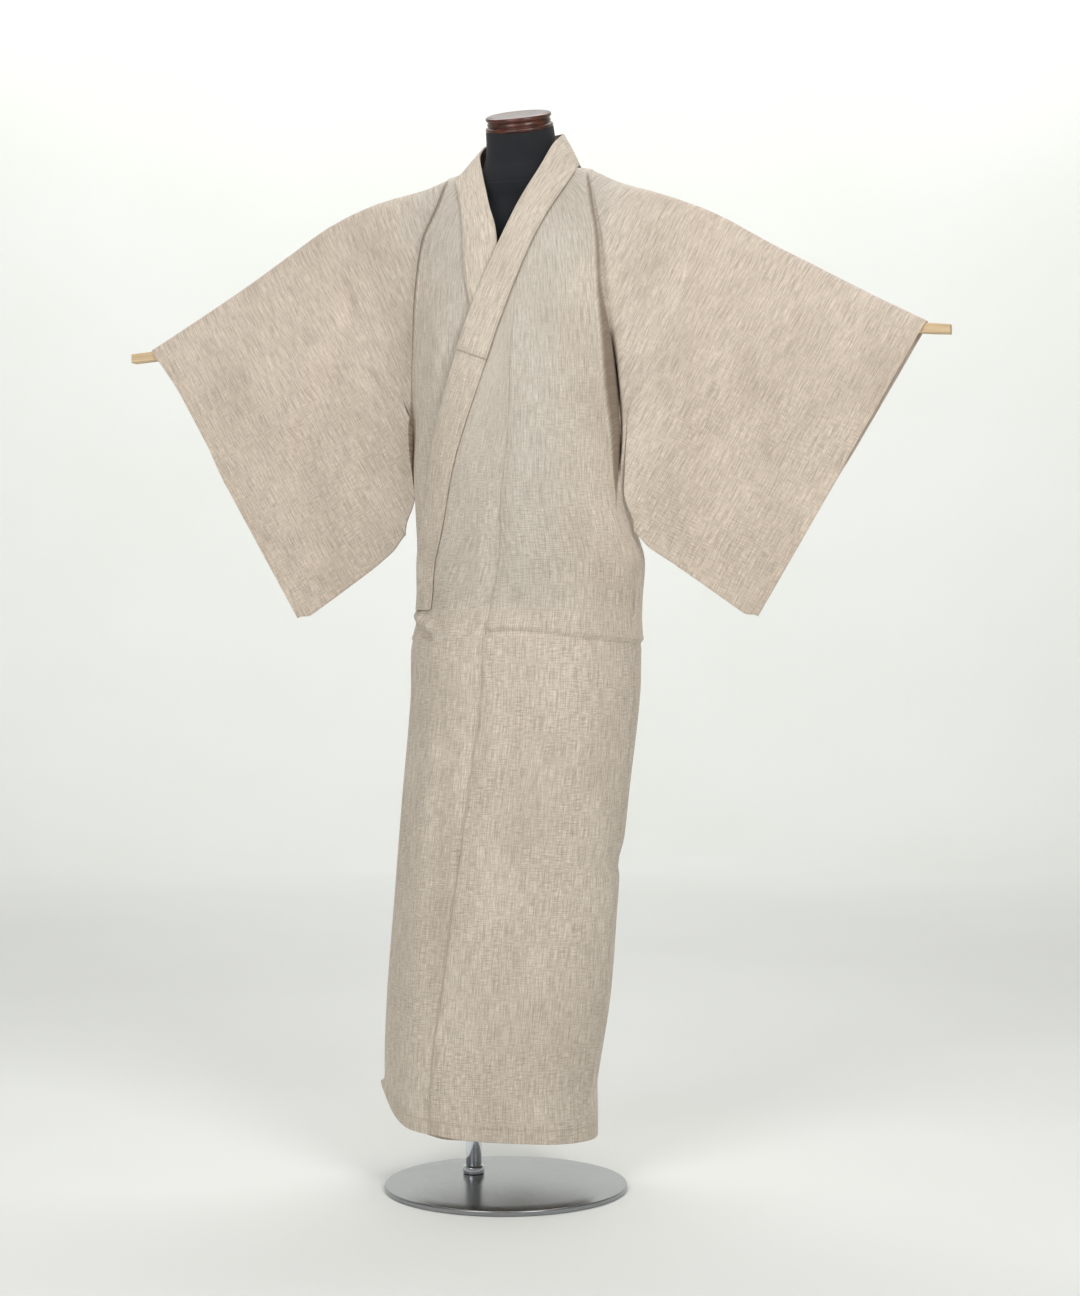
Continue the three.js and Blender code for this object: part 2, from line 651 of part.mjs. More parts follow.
// Edge beside the body: the armhole seam, then the free edge close to the side.
function sleeveInner(s, side) {
  const split = 0.66;
  if (s <= split) {
    const t = s / split;
    return new THREE.Vector2(mix(SEAM_TOP_X, ARMHOLE_X, t) + ARMHOLE_GAP, mix(shoulderZ[side](SEAM_TOP_X), ARMHOLE_Z, t));
  }
  const t = (s - split) / (1 - split);
  const corner = sleeveBottom(0);
  const z = mix(ARMHOLE_Z, corner.y, t);
  const beside = Math.max(sideX(LEFT, z), sideX(RIGHT, z)) + SIDE_CLEARANCE;
  return new THREE.Vector2(mix(beside, corner.x, smooth((t - 0.6) / 0.4)), z);
}

// Cuff edge; the front layer of the right sleeve draws back a little where it is open.
function sleeveOuter(s, side, face) {
  const corner = sleeveBottom(1);
  const x = mix(CUFF_X, corner.x, s);
  const z = mix(shoulderZ[side](CUFF_X), corner.y, s);
  const open = CUFF_OPENING / SLEEVE_LENGTH;
  const draw = side < 0 && face < 0 ? 9 * Math.sin(Math.PI * clamp01(s / open)) ** 0.8 : 0;
  return new THREE.Vector2(x - draw, z + draw * 0.5);
}

function sleeveHalfDepth(u, s) {
  const width = mix(SEAM_HALF_DEPTH, 13.2, u);
  const dropLength = s * SLEEVE_LENGTH;
  const round = roundOver(dropLength, mix(30, 6, smooth(u * 1.2)));
  const lower = mix(width, 6.5, smooth((s - 0.16) / 0.5));
  const sewnBottom = smooth((1 - s) / 0.16);
  const sewnCuff = Math.max(smooth((1 - u) / 0.2), smooth((0.54 - s) / 0.1));
  const sewnBody = Math.max(smooth(u / 0.25), smooth((0.68 - s) / 0.06));
  const body = mix(lower, SEAM_HALF_DEPTH, smooth((0.1 - u) / 0.1) * smooth((0.7 - s) / 0.1));
  return Math.max(SLEEVE_SEWN * clamp01(s * 40), body * round * sewnBottom * sewnCuff * sewnBody);
}

// The sleeve hangs a little behind its top at the lower inner corner, beside the body.
function sleeveBack(u, s) {
  const swing = 5 * Math.sin(Math.PI * u) * smooth((s - 0.38) / 0.3);
  return swing - SEAM_HALF_DEPTH * smooth((s - 0.58) / 0.1) * smooth((0.35 - u) / 0.35);
}

function sleeve(side) {
  const downs = [0, 0.006, 0.02, 0.045, 0.08, 0.13, 0.2, 0.28, 0.37, 0.46, 0.53, 0.6, 0.66, 0.72, 0.8, 0.88, 0.95, 1];
  const across = [0, 0.05, 0.12, 0.2, 0.3, 0.4, 0.5, 0.6, 0.7, 0.8, 0.88, 0.94, 1];
  const rows = [];
  for (const s of [...downs].reverse()) rows.push(across.map((u) => sleevePoint(side, -1, u, s)));
  for (const s of downs.slice(1)) rows.push(across.map((u) => sleevePoint(side, 1, u, s)));
  return new Sheet().grid(rows, side < 0);
}

// Closed loft through rings of points, capped at both ends.
function loft(rings) {
  const n = rings[0].length;
  const position = rings.flat().flatMap((p) => [p.x, p.y, p.z]);
  const index = [];
  for (let i = 0; i + 1 < rings.length; i += 1) {
    for (let j = 0; j < n; j += 1) {
      const a = i * n + j;
      const b = i * n + ((j + 1) % n);
      index.push(a, b, b + n, a, b + n, a + n);
    }
  }
  const ends = [[0, true], [(rings.length - 1) * n, false]];
  for (const [first, reverse] of ends) {
    for (let j = 1; j + 1 < n; j += 1) {
      if (reverse) index.push(first, first + j + 1, first + j);
      else index.push(first, first + j, first + j + 1);
    }
  }
  const geometry = new THREE.BufferGeometry();
  geometry.setAttribute("position", new THREE.Float32BufferAttribute(position, 3));
  geometry.setIndex(index);
  geometry.computeVertexNormals();
  return geometry;
}

function formRing(level, sides) {
  const ring = [];
  for (let j = 0; j < sides; j += 1) {
    const turn = (2 * Math.PI * j) / sides;
    const reach = level.b * Math.sin(turn);
    const x = level.a * Math.cos(turn);
    ring.push(new THREE.Vector3(x, level.y + reach * Math.cos(rad(level.tilt)), level.z + reach * Math.sin(rad(level.tilt))));
  }
  return ring;
}

function toManifold(geometry) {
  const plain = geometry.clone();
  plain.deleteAttribute("normal");
  const merged = mergeVertices(plain, 1e-4);
  return new wasm.Manifold(new wasm.Mesh({
    numProp: 3,
    vertProperties: new Float32Array(merged.attributes.position.array),
    triVerts: new Uint32Array(merged.index.array),
  }));
}

function fromManifold(solid) {
  const mesh = solid.getMesh();
  const geometry = new THREE.BufferGeometry();
  geometry.setAttribute("position", new THREE.BufferAttribute(new Float32Array(mesh.vertProperties), 3));
  geometry.setIndex(new THREE.BufferAttribute(new Uint32Array(mesh.triVerts), 1));
  geometry.computeVertexNormals();
  return geometry;
}

const barHeight = (x) => BAR_Z - BAR_BOW * x * x - BAR_TILT * x;

function barGeometry(half, grow) {
  const rings = [];
  const steps = 18;
  for (let i = 0; i <= steps; i += 1) {
    const x = mix(-half, half, i / steps);
    const z = barHeight(x);
    const y = BAR_DEEP / 2 + grow;
    const h = BAR_TALL / 2 + grow;
    rings.push([
      new THREE.Vector3(x, -y, z - h),
      new THREE.Vector3(x, y, z - h),
      new THREE.Vector3(x, y, z + h),
      new THREE.Vector3(x, -y, z + h),
    ]);
  }
  return loft(rings);
}

function torsoGeometry() {
  const torso = toManifold(loft(FORM.map((level) => formRing(level, 32))));
  return fromManifold(torso.subtract(toManifold(barGeometry(BAR_HALF, SEAM_GAP))));
}

function capGeometry() {
  const points = [new THREE.Vector2(0, 0)];
  for (const step of CAP_PROFILE) points.push(new THREE.Vector2(step.r, step.h));
  points.push(new THREE.Vector2(0, CAP_PROFILE.at(-1).h));
  return new THREE.LatheGeometry(points, 24);
}

// Materials.
const cloth = () => new THREE.MeshStandardMaterial({ color: 0xcdbfa9, roughness: 0.9, metalness: 0, side: THREE.DoubleSide });
const blackCloth = () => new THREE.MeshStandardMaterial({ color: 0x23252b, roughness: 0.92, metalness: 0 });
const redWood = () => new THREE.MeshStandardMaterial({ color: 0x5c2a1c, roughness: 0.3, metalness: 0 });
const paleWood = () => new THREE.MeshStandardMaterial({ color: 0xc8a982, roughness: 0.55, metalness: 0 });
const chrome = () => new THREE.MeshStandardMaterial({ color: 0xc9cdd2, roughness: 0.12, metalness: 1 });
const satinSteel = () => new THREE.MeshStandardMaterial({ color: 0xa9abae, roughness: 0.35, metalness: 1 });

function named(name, geometry, material) {
  const mesh = new THREE.Mesh(geometry, material);
  mesh.name = name;
  return mesh;
}

function garment() {
  const group = new THREE.Group();
  const collar = collarSheet(COLLAR_END_Z, COLLAR_END_Z);
  const cover = collarSheet(COVER_END_Z, COVER_END_Z).moved(COVER_STEP);
  group.add(named("body_left", bodyPanel(1).wall(CLOTH), cloth()));
  group.add(named("body_right", bodyPanel(-1).wall(CLOTH), cloth()));
  group.add(named("overlap_left", overlapPanel(1).wall(CLOTH), cloth()));
  group.add(named("overlap_right", overlapPanel(-1).wall(CLOTH), cloth()));
  group.add(named("collar", collar.wall(BAND), cloth()));
  group.add(named("collar_cover", cover.wall(CLOTH), cloth()));
  group.add(named("sleeve_left", sleeve(1).wall(CLOTH), cloth()));
  group.add(named("sleeve_right", sleeve(-1).wall(CLOTH), cloth()));
  return group;
}

function dressForm() {
  const group = new THREE.Group();
  group.add(named("form_torso", torsoGeometry(), blackCloth()));
  const cap = named("neck_cap", capGeometry(), redWood());
  const neckTop = FORM.at(-1);
  cap.rotation.x = rad(CAP_TILT + 90);
  const axis = new THREE.Vector3(0, -Math.sin(rad(CAP_TILT)), Math.cos(rad(CAP_TILT)));
  cap.position.set(0, neckTop.y, neckTop.z).addScaledVector(axis, SEAM_GAP);
  group.add(cap);
  group.add(named("sleeve_bar", barGeometry(BAR_HALF, 0), paleWood()));
  return group;
}

function stand() {
  const group = new THREE.Group();
  const plate = named("base_plate", new THREE.CylinderGeometry(PLATE_R, PLATE_R, PLATE_THICK, 56), satinSteel());
  plate.rotation.x = Math.PI / 2;
  plate.position.z = PLATE_THICK / 2;
  group.add(plate);
  const socket = new THREE.LatheGeometry([
    new THREE.Vector2(POLE_R + SEAM_GAP, 0),
    new THREE.Vector2(SOCKET_R, 0),
    new THREE.Vector2(SOCKET_R, SOCKET_TALL - 2),
    new THREE.Vector2(SOCKET_R - 2, SOCKET_TALL),
    new THREE.Vector2(POLE_R + SEAM_GAP, SOCKET_TALL),
    new THREE.Vector2(POLE_R + SEAM_GAP, 0),
  ], 16);
  const ring = named("pole_socket", socket, chrome());
  ring.rotation.x = Math.PI / 2;
  ring.position.set(POLE_X, POLE_Y, PLATE_THICK + SEAM_GAP);
  group.add(ring);
  const foot = PLATE_THICK + SEAM_GAP;
  const head = FORM[0].z - SEAM_GAP;
  const pole = named("pole", new THREE.CylinderGeometry(POLE_R, POLE_R, head - foot, 24), chrome());
  pole.rotation.x = Math.PI / 2;
  pole.position.set(POLE_X, POLE_Y, (head + foot) / 2);
  group.add(pole);
  return group;
}

const worn = new THREE.Group();
worn.position.set(FORM_X, FORM_Y, 0);
worn.add(garment(), dressForm());

const yukata = new THREE.Group();
yukata.add(stand(), worn);

export default yukata;
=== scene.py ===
# A worn unlined yukata of pale beige cloth on a limbless dress form.
# The tables and the shape functions are in millimetres, in the form's own frame, and follow
# the solids. Blender's objects are in metres in the row frame.
import bisect
import math

import bmesh
import bpy
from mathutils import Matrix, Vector


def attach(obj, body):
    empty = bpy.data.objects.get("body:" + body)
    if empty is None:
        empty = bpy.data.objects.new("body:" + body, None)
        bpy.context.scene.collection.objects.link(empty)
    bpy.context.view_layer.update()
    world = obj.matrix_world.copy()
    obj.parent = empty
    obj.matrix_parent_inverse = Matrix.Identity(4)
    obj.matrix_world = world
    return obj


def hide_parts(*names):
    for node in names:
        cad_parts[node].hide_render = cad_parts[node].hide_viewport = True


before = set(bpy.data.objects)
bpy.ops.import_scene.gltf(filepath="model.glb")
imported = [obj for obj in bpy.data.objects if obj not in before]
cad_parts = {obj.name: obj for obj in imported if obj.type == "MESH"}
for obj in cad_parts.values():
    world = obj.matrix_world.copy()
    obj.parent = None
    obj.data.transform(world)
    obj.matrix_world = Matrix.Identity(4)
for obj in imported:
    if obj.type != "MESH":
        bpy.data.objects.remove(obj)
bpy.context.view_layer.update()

MM = 0.001
FORM_X = 12.0
FORM_Y = 35.0
LEFT = 1
RIGHT = -1
SIDE_WORD = {LEFT: "left", RIGHT: "right"}

CLOTH = 1.2
BAND = 1.6
SEAM_GAP = 0.3
SEWN_GAP = 0.08
BACK_SEAM_GAP = 0.5
WRAP_STEP = 8.0
COLLAR_STEP = 2.6
COVER_STEP = 2.1
ARMHOLE_Z = 1137.0
NECK_Z = 1508.0
TUCK_Z = 811.0
COLLAR_END_Z = 853.0
COVER_END_Z = 1212.0
NECK_X = 88.0
NECK_GAP = 1.6
FOLD_TOP_X = 103.0
SEAM_TOP_X = 303.0
ARMHOLE_X = 167.0
CUFF_X = 603.0
MIDDLE_Y = 7.5

# x, left height, right height
SHOULDER_LINE = (
    (88, 1507, 1508), (104, 1504, 1503), (145, 1482, 1488), (200, 1464, 1477), (240, 1450, 1467),
    (303, 1424, 1441), (380, 1379, 1394), (437, 1348, 1358), (491, 1318, 1326), (543, 1290, 1296),
    (603, 1259, 1262.5),
)
# height, middle, half-width, front reach, back reach
SECTIONS = (
    (60, -47, 151, 146, 152), (100, -47, 153, 145, 151), (159, -47.4, 160, 144, 149),
    (277, -38.2, 166.7, 143, 147), (425, -27.3, 166.7, 143, 145), (572, -13.4, 169.8, 142.5, 143),
    (720, 2.8, 174, 142, 142), (809, 5, 175, 142, 142), (868, 10.6, 170.6, 142, 141),
    (928, 10, 174.5, 142.5, 141), (960, 6, 169.5, 143, 141), (1010, -1, 162, 143, 141),
    (1060, -2.5, 161, 143, 140), (1137, 0, 160, 141, 137), (1200, 0, 168, 137, 133),
    (1250, 0, 172, 132, 128), (1320, 0, 178, 121, 119), (1400, 0, 184, 103, 103),
    (1438, 0, 187, 88, 95), (1470, 0, 188, 74, 86), (1515, 0, 190, 62, 73),
)
# height, left fold, right fold, inset beside it
FOLDS = (
    (1000, 155, 162, 16), (1137, 145, 156, 14), (1180, 142.5, 151, 20), (1250, 139, 142, 32),
    (1318, 134, 137, 44), (1398, 129, 125, 54), (1450, 118, 105, 52), (1508, 103, 103, 42),
)
# height and x of the outer edge, height, x and reach of the inner edge, how free it stands
TOP_COLLAR = (
    (853, -104, 853, -142, 0, 0), (922, -94.6, 924, -137, 0, 0), (965, -81.5, 970, -128, 0, 0),
    (1055, -62, 1066, -108, 0, 0), (1101, -48, 1117, -95, 0, 0), (1214, -9.3, 1232, -57, 0, 0),
    (1255, 3, 1273, -43, 0, 0), (1330, 27, 1350, -15, -108, 0), (1391, 48, 1413, 9, -93, 0),
    (1438, 68, 1470, 29, -66, 0.6), (1468, 80, 1507, 46.6, -45, 1), (1492, 88, 1541, 57, -20, 1),
)
UNDER_COLLAR = (
    (853, 104, 853, 142, 0, 0), (922, 90, 924, 134, 0, 0), (965, 76, 970, 123, 0, 0),
    (1055, 44, 1066, 92, 0, 0), (1101, 26, 1117, 74, 0, 0), (1214, -20, 1232, 28, 0, 0),
    (1255, -34, 1273, 12, 0, 0), (1330, -49, 1350, -4, -108, 0), (1391, -56, 1411, -11, -90, 0),
    (1438, -65, 1466, -34, -58, 0.6), (1468, -77, 1500, -47, -40, 1), (1492, -87, 1528, -58, -18, 1),
)
# turn, x, y, left height, right height of the band's top edge round the neck
NECK_BAND = (
    (90, 60, 8, 1558, 1546), (60, 53, 38, 1567, 1561), (30, 31, 60, 1570, 1567), (0, 0, 68, 1570, 1570),
)
NECK_BACK_Y = 80.0
NECK_BACK_RISE = 3.0
COLLAR_LAP = 9.0
COLLAR_LIFT_Z = 1385.0
COLLAR_RISE = 1.7
# height, seam angle, front edge angle
OVERLAP = (
    (60, -23, -76), (155, -18, -73), (215, -16.7, -71), (363, -12.5, -68), (550, -9.3, -66),
    (700, -7.4, -65), (835, -5, -64), (960, 1.5, -63), (1100, 7.8, -60), (1214, 8.2, -50),
    (1345, 9, -40),
)
OVERLAP_TOP_Z = 1345.0
SIDE_ANGLE = 80.0
# angle, height
HEM = (
    (-180, 84), (-110, 110), (-80, 156), (-72, 140), (-58, 112), (-40, 96), (-15, 91), (30, 84),
    (80, 75), (120, 77), (180, 84),
)
HEM_ROW_Z = 155.0
HEM_DIP = {LEFT: 0.0, RIGHT: 5.0}
HEM_DIP_AT = -14.0
HEM_DIP_WIDE = 14.0
HEM_FLARE = 7.0
HEM_FLARE_AT = -78.0
HEM_FLARE_SHARE = 0.75

# height, how far the left side hangs out beyond the section
SIDE_HANG = (
    (110, 0), (200, 4), (300, 8), (400, 9), (460, 7), (474, 1), (492, 2), (512, 8), (600, 6),
    (700, 2), (790, 0),
)
SIDE_HANG_AT = 78.0
SIDE_HANG_WIDE = 26.0

SLEEVE_LENGTH = 490.0
CUFF_OPENING = 245.0
SLEEVE_CORNER = (359.0, 833.0)
SLEEVE_INNER_CORNER = (178.0, 958.0)
SLEEVE_SEWN = 1.1
SEWN_SHARE = 0.66
SIDE_CLEARANCE = 0.9
ARMHOLE_GAP = 0.08
SEAM_HALF_DEPTH = 14.0
BACK_FOLD_ANGLE = 112.0
DRAWN_FOOT_Z = 1000.0
FOLD_WIDTH = 7.0
FOLD_BULGE = 4.0
ROUND_DROP = 78.0
# The cloth behind each fold line turns in deeply before it runs out to the sleeve.
VALLEY_DEPTH = 30.0
VALLEY_WIDTH = 9.0
VALLEY_TOP_Z = 1290.0
# Where the step of the under layer starts, outside the collar's edge and the skirt's edge.
WRAP_PAST_COLLAR = 50.0
WRAP_PAST_SKIRT = 22.0
WRAP_RUN = 40.0
WRAP_CHEST_Z = 965.0
TUCK_CLIMB = 16.0
BAND_PUFF = 0.9
NECK_PUFF = 1.2

BAR_HALF = 636.0
BAR_TALL = 14.0
BAR_DEEP = 20.0
BAR_Z = 1276.0
BAR_TILT = 0.003
BAR_BOW = 6.9e-5
BAR_FILLET = 1.5
BAR_END_STEP = 0.01

# height, half-width, half-depth, middle y, forward tilt
FORM = (
    (832, 118, 78, 4, 0), (836, 140, 94, 4, 0), (852, 150, 103, 4, 0), (900, 150, 107, 4, 0),
    (970, 146, 103, 3, 0), (1060, 136, 96, 2, 0), (1140, 136, 98, 2, 0), (1220, 142, 102, 2, 0),
    (1300, 150, 99, 3, 0), (1360, 161, 82, 3, 0), (1400, 176, 64, 2, 0), (1425, 190, 50, 1, 0),
    (1444, 196, 38, 0, 0), (1455, 182, 34, 0, 0), (1465, 156, 35, 1, 0), (1475, 128, 40, 3, 1),
    (1486, 101, 46, 6, 3), (1498, 79, 51, 9, 6), (1513, 63, 53, 9, 11), (1530, 55, 53, 7, 16),
    (1549, 52, 52, 1, 20), (1569, 50.5, 50.5, -6, 20),
)
CAP_TILT = 20.0
CAP_PROFILE = (
    (49.5, 0), (50.6, 2.5), (49.6, 5), (46.8, 6.4), (47.6, 9), (47, 12), (46.2, 13.5),
    (48.4, 15.5), (49.2, 18), (48, 20.4), (45, 21.5),
)
PLATE_R = 179.0
PLATE_THICK = 8.0
POLE_R = 11.8
POLE_AT = (-65.0, 44.0)
SOCKET_R = 16.0
SOCKET_TALL = 12.0

# Soft troughs and ridges pressed into the cloth of each part and side: width, depth, and the
# path as x and height. A trough is negative.
CREASES = {
    ("front", LEFT): (
        (9, -3.5, ((40, 1230), (33, 1180), (14, 1052), (7, 1008), (-14, 840))),
        (22, 3.2, ((66, 1200), (58, 1080), (44, 960), (30, 860))),
        (6, 1.4, ((82, 1098), (110, 1094), (150, 1092))),
        (15, -2.6, ((116, 1100), (118, 1040), (126, 980), (132, 900))),
        (26, 3.5, ((96, 1040), (98, 960), (92, 880), (86, 830))),
        (16, -3.8, ((-8, 796), (-22, 690), (-34, 600), (-44, 520), (-62, 400))),
        (24, 3.2, ((20, 780), (10, 640), (-6, 500), (-24, 330), (-34, 200))),
        (20, -2.9, ((70, 790), (58, 640), (42, 470), (26, 300), (14, 170))),
        (26, 2.9, ((112, 780), (96, 600), (78, 420), (60, 220))),
        (12, -2.6, ((-34, 190), (-30, 150), (-27, 104))),
        (15, -3.4, ((150, 985), (154, 930), (160, 870), (168, 830))),
        (8, 8.0, ((-152, 850), (-136, 842), (-118, 832), (-92, 820))),
        (6, -6.4, ((-150, 836), (-136, 828), (-120, 818), (-100, 806))),
        (6, -4.8, ((-134, 872), (-138, 850), (-146, 826), (-150, 790))),
        (18, 2.9, ((-96, 780), (-104, 640), (-116, 480), (-128, 300), (-134, 160))),
        (14, -2.6, ((-70, 700), (-82, 560), (-96, 400), (-106, 240))),
        (20, -2.2, ((-30, 1000), (-46, 900), (-60, 780))),
    ),
    ("front", RIGHT): (
        (20, -2.9, ((-112, 1240), (-116, 1120), (-120, 1000), (-112, 900))),
        (16, 2.4, ((-92, 1330), (-96, 1200), (-100, 1080))),
    ),
    ("back", LEFT): (
        (24, -4.2, ((30, 1380), (44, 1240), (52, 1080), (46, 900))),
        (20, 3.4, ((84, 1330), (88, 1180), (86, 1000), (74, 860))),
        (15, -3.6, ((112, 1240), (118, 1100), (112, 960))),
    ),
    ("back", RIGHT): (
        (22, -3.9, ((-26, 1360), (-40, 1220), (-50, 1060), (-48, 880))),
        (20, 3.1, ((-80, 1340), (-86, 1180), (-80, 1020), (-70, 870))),
        (15, -3.4, ((-116, 1220), (-120, 1080), (-112, 950))),
    ),
    ("sleeve_front", RIGHT): (
        (19, -11.2, ((286, 1404), (268, 1310), (299, 1219), (347, 1112), (360, 1040))),
        (16, -6.8, ((330, 1205), (379, 1173), (473, 1143))),
        (18, 6.8, ((340, 1330), (330, 1260), (352, 1190), (400, 1090))),
        (5, 4.1, ((244, 1236), (222, 1212), (196, 1180))),
        (5, -3.6, ((250, 1220), (228, 1196), (204, 1166))),
        (21, 6.8, ((262, 1130), (268, 1060), (300, 980))),
        (14, -5.8, ((398, 960), (372, 900), (358, 868))),
    ),
    ("sleeve_front", LEFT): (
        (24, -5.8, ((330, 1330), (318, 1270), (330, 1190), (352, 1100))),
        (21, 4.5, ((420, 1230), (400, 1140), (380, 1040))),
        (13, -5.4, ((440, 985), (416, 938), (390, 900))),
        (16, 4.9, ((230, 1120), (232, 1050), (250, 980))),
    ),
    ("sleeve_back", RIGHT): (
        (21, -8.1, ((300, 1390), (300, 1290), (330, 1180), (360, 1060))),
        (19, 5.8, ((400, 1240), (400, 1130), (380, 1010))),
    ),
    ("sleeve_back", LEFT): (
        (21, -7.6, ((306, 1380), (312, 1280), (340, 1170), (356, 1050))),
        (18, 5.4, ((420, 1250), (412, 1140), (390, 1010))),
    ),
}
CREASE_ENDS = 0.25


def mix(a, b, t):
    return a + (b - a) * t


def clamp01(t):
    return min(1.0, max(0.0, t))


def smooth(t):
    c = clamp01(t)
    return c * c * (3 - 2 * c)


def hump(t, centre, width):
    return math.exp(-(((t - centre) / width) ** 2))


def sin_deg(angle):
    return math.sin(math.radians(angle))


def cos_deg(angle):
    return math.cos(math.radians(angle))


def reader(table, column):
    """Smooth reading of a column between the rows of a table keyed by its first column."""
    rows = sorted(table)
    keys = [row[0] for row in rows]
    values = [row[column] for row in rows]
    last = len(rows) - 1
    slopes = []
    for i in range(len(rows)):
        a, b = max(0, i - 1), min(last, i + 1)
        slopes.append((values[b] - values[a]) / (keys[b] - keys[a]))

    def read(at):
        if at <= keys[0]:
            return values[0]
        if at >= keys[last]:
            return values[last]
        i = bisect.bisect_right(keys, at) - 1
        w = keys[i + 1] - keys[i]
        t = (at - keys[i]) / w
        t2 = t * t
        t3 = t2 * t
        return ((2 * t3 - 3 * t2 + 1) * values[i] + (t3 - 2 * t2 + t) * w * slopes[i]
                + (3 * t2 - 2 * t3) * values[i + 1] + (t3 - t2) * w * slopes[i + 1])

    return read


def readers(table):
    """A reader for each column after the first."""
    return [reader(table, column) for column in range(1, len(table[0]))]


def by_side(left, right):
    return {LEFT: left, RIGHT: right}


section_middle, section_half, front_reach, back_reach = readers(SECTIONS)
shoulder_z = by_side(*readers(SHOULDER_LINE))
*fold_columns, fold_inset = readers(FOLDS)
fold_x = by_side(*fold_columns)
side_hang = reader(SIDE_HANG, 1)
overlap_seam, overlap_edge = readers(OVERLAP)
hem_z = reader(HEM, 1)
collar_outer, collar_inner_z, collar_inner, collar_inner_y, collar_free = [
    by_side(*pair) for pair in zip(readers(TOP_COLLAR), readers(UNDER_COLLAR))
]
neck_top_x, neck_top_y, *neck_heights = readers(NECK_BAND)
neck_top_z = by_side(*neck_heights)


def near_path(path, x, z):
    """Distance to a path, and how far along it the nearest point lies, from 0 to 1."""
    best = 1e9
    along = 0.0
    count = len(path) - 1
    for i in range(count):
        (x0, z0), (x1, z1) = path[i], path[i + 1]
        dx, dz = x1 - x0, z1 - z0
        t = clamp01(((x - x0) * dx + (z - z0) * dz) / (dx * dx + dz * dz))
        gap = math.hypot(x - x0 - t * dx, z - z0 - t * dz)
        if gap < best:
            best = gap
            along = (i + t) / count
    return best, along


def crease(part, side, x, z):
    """Height of the pressed-in folds of a part at x and z."""
    total = 0.0
    for width, depth, path in CREASES[part, side]:
        gap, along = near_path(path, x, z)
        if gap < 3 * width:
            ends = smooth(along / CREASE_ENDS) * smooth((1 - along) / CREASE_ENDS)
            total += depth * ends * math.exp(-((gap / width) ** 2))
    return total


def under_step(x, z):
    """The left front lies on the right one, which steps inward from its own side."""
    chest_start = collar_inner[LEFT](z) - WRAP_PAST_COLLAR
    skirt_start = section_middle(z) - section_half(z) - WRAP_PAST_SKIRT
    start = mix(chest_start, skirt_start, smooth((WRAP_CHEST_Z - z) / 112))
    return -WRAP_STEP * smooth((x - start) / WRAP_RUN)


def tuck_foot(angle):
    """The tuck climbs from the left side to the middle of the front."""
    wave = 1.1 * sin_deg(angle * 3 + 40) + 0.7 * sin_deg(angle * 7)
    return TUCK_Z + wave + TUCK_CLIMB * smooth((82 - abs(angle)) / 80)


def tuck(z, angle):
    """The waist tuck across the body panels: a soft ledge that hangs over its foot."""
    foot = tuck_foot(angle)
    ledge = 3.0 * hump(z, foot, 3.4) + 1.8 * smooth((z - foot) / 4) * smooth((foot + 34 - z) / 34)
    return ledge - 1.4 * hump(z, foot - 8, 4)


def drape(angle, z):
    """Broad soft folds of the skirt, small in front and deeper behind."""
    low = smooth((ARMHOLE_Z - 80 - z) / 700)
    behind = smooth((abs(angle) - 95) / 50)
    front = 1.4 * cos_deg(angle * 5 + 35) + cos_deg(angle * 9 - 60)
    rear = 4.5 * cos_deg(angle * 8) + 2.2 * cos_deg(angle * 12)
    return low * mix(front, rear, behind)


def tube_point(angle, z, out):
    reach = front_reach(z) if abs(angle) <= 90 else back_reach(z)
    stand = out + drape(angle, z) + side_hang(z) * hump(angle, SIDE_HANG_AT, SIDE_HANG_WIDE)
    return [
        section_middle(z) + (section_half(z) + stand) * sin_deg(angle),
        MIDDLE_Y - (reach + stand) * cos_deg(angle),
        z,
    ]


def angle_of(x, z):
    s = (x - section_middle(z)) / section_half(z)
    return math.degrees(math.asin(min(0.999, max(-0.999, s))))


def round_over(drop, height):
    return math.sqrt(1 - (1 - clamp01(drop / height)) ** 2)


def front_point(x, z, out):
    point = tube_point(angle_of(x, z), z, out)
    point[1] *= round_over(NECK_Z - z, ROUND_DROP)
    return point


SHELL_COLUMNS = 6
FLAP_COLUMNS = 6
NECK_COLUMNS = 3


def neckline_point(turn, out):
    return [
        (NECK_X + out) * sin_deg(turn),
        (NECK_BACK_Y + out) * cos_deg(turn),
        NECK_Z + NECK_BACK_RISE * cos_deg(turn),
    ]


def top_point(side, column, back):
    k = column - NECK_COLUMNS if back else column
    if k < 0:
        return neckline_point(90 * column / NECK_COLUMNS, NECK_GAP)
    if k <= SHELL_COLUMNS:
        x = mix(NECK_X + NECK_GAP, FOLD_TOP_X, k / SHELL_COLUMNS)
    elif k < SHELL_COLUMNS + 1:
        x = FOLD_TOP_X + FOLD_WIDTH * (k - SHELL_COLUMNS)
    else:
        x = mix(FOLD_TOP_X + FOLD_WIDTH, SEAM_TOP_X, (k - SHELL_COLUMNS - 1) / (FLAP_COLUMNS - 1))
    return [x, 0.0, shoulder_z[side](x)]


def inner_edge(side, z):
    """The inner edge of a front, as x on its own side: overlap seam, then under the collar."""
    seam = side * tube_point(side * overlap_seam(z), z, 0)[0]
    lap = mix(COLLAR_LAP, -0.4, smooth((z - COLLAR_LIFT_Z) / 42))
    under = side * collar_outer[side](z) - lap
    if z < 1200:
        return seam
    return max(seam, under)


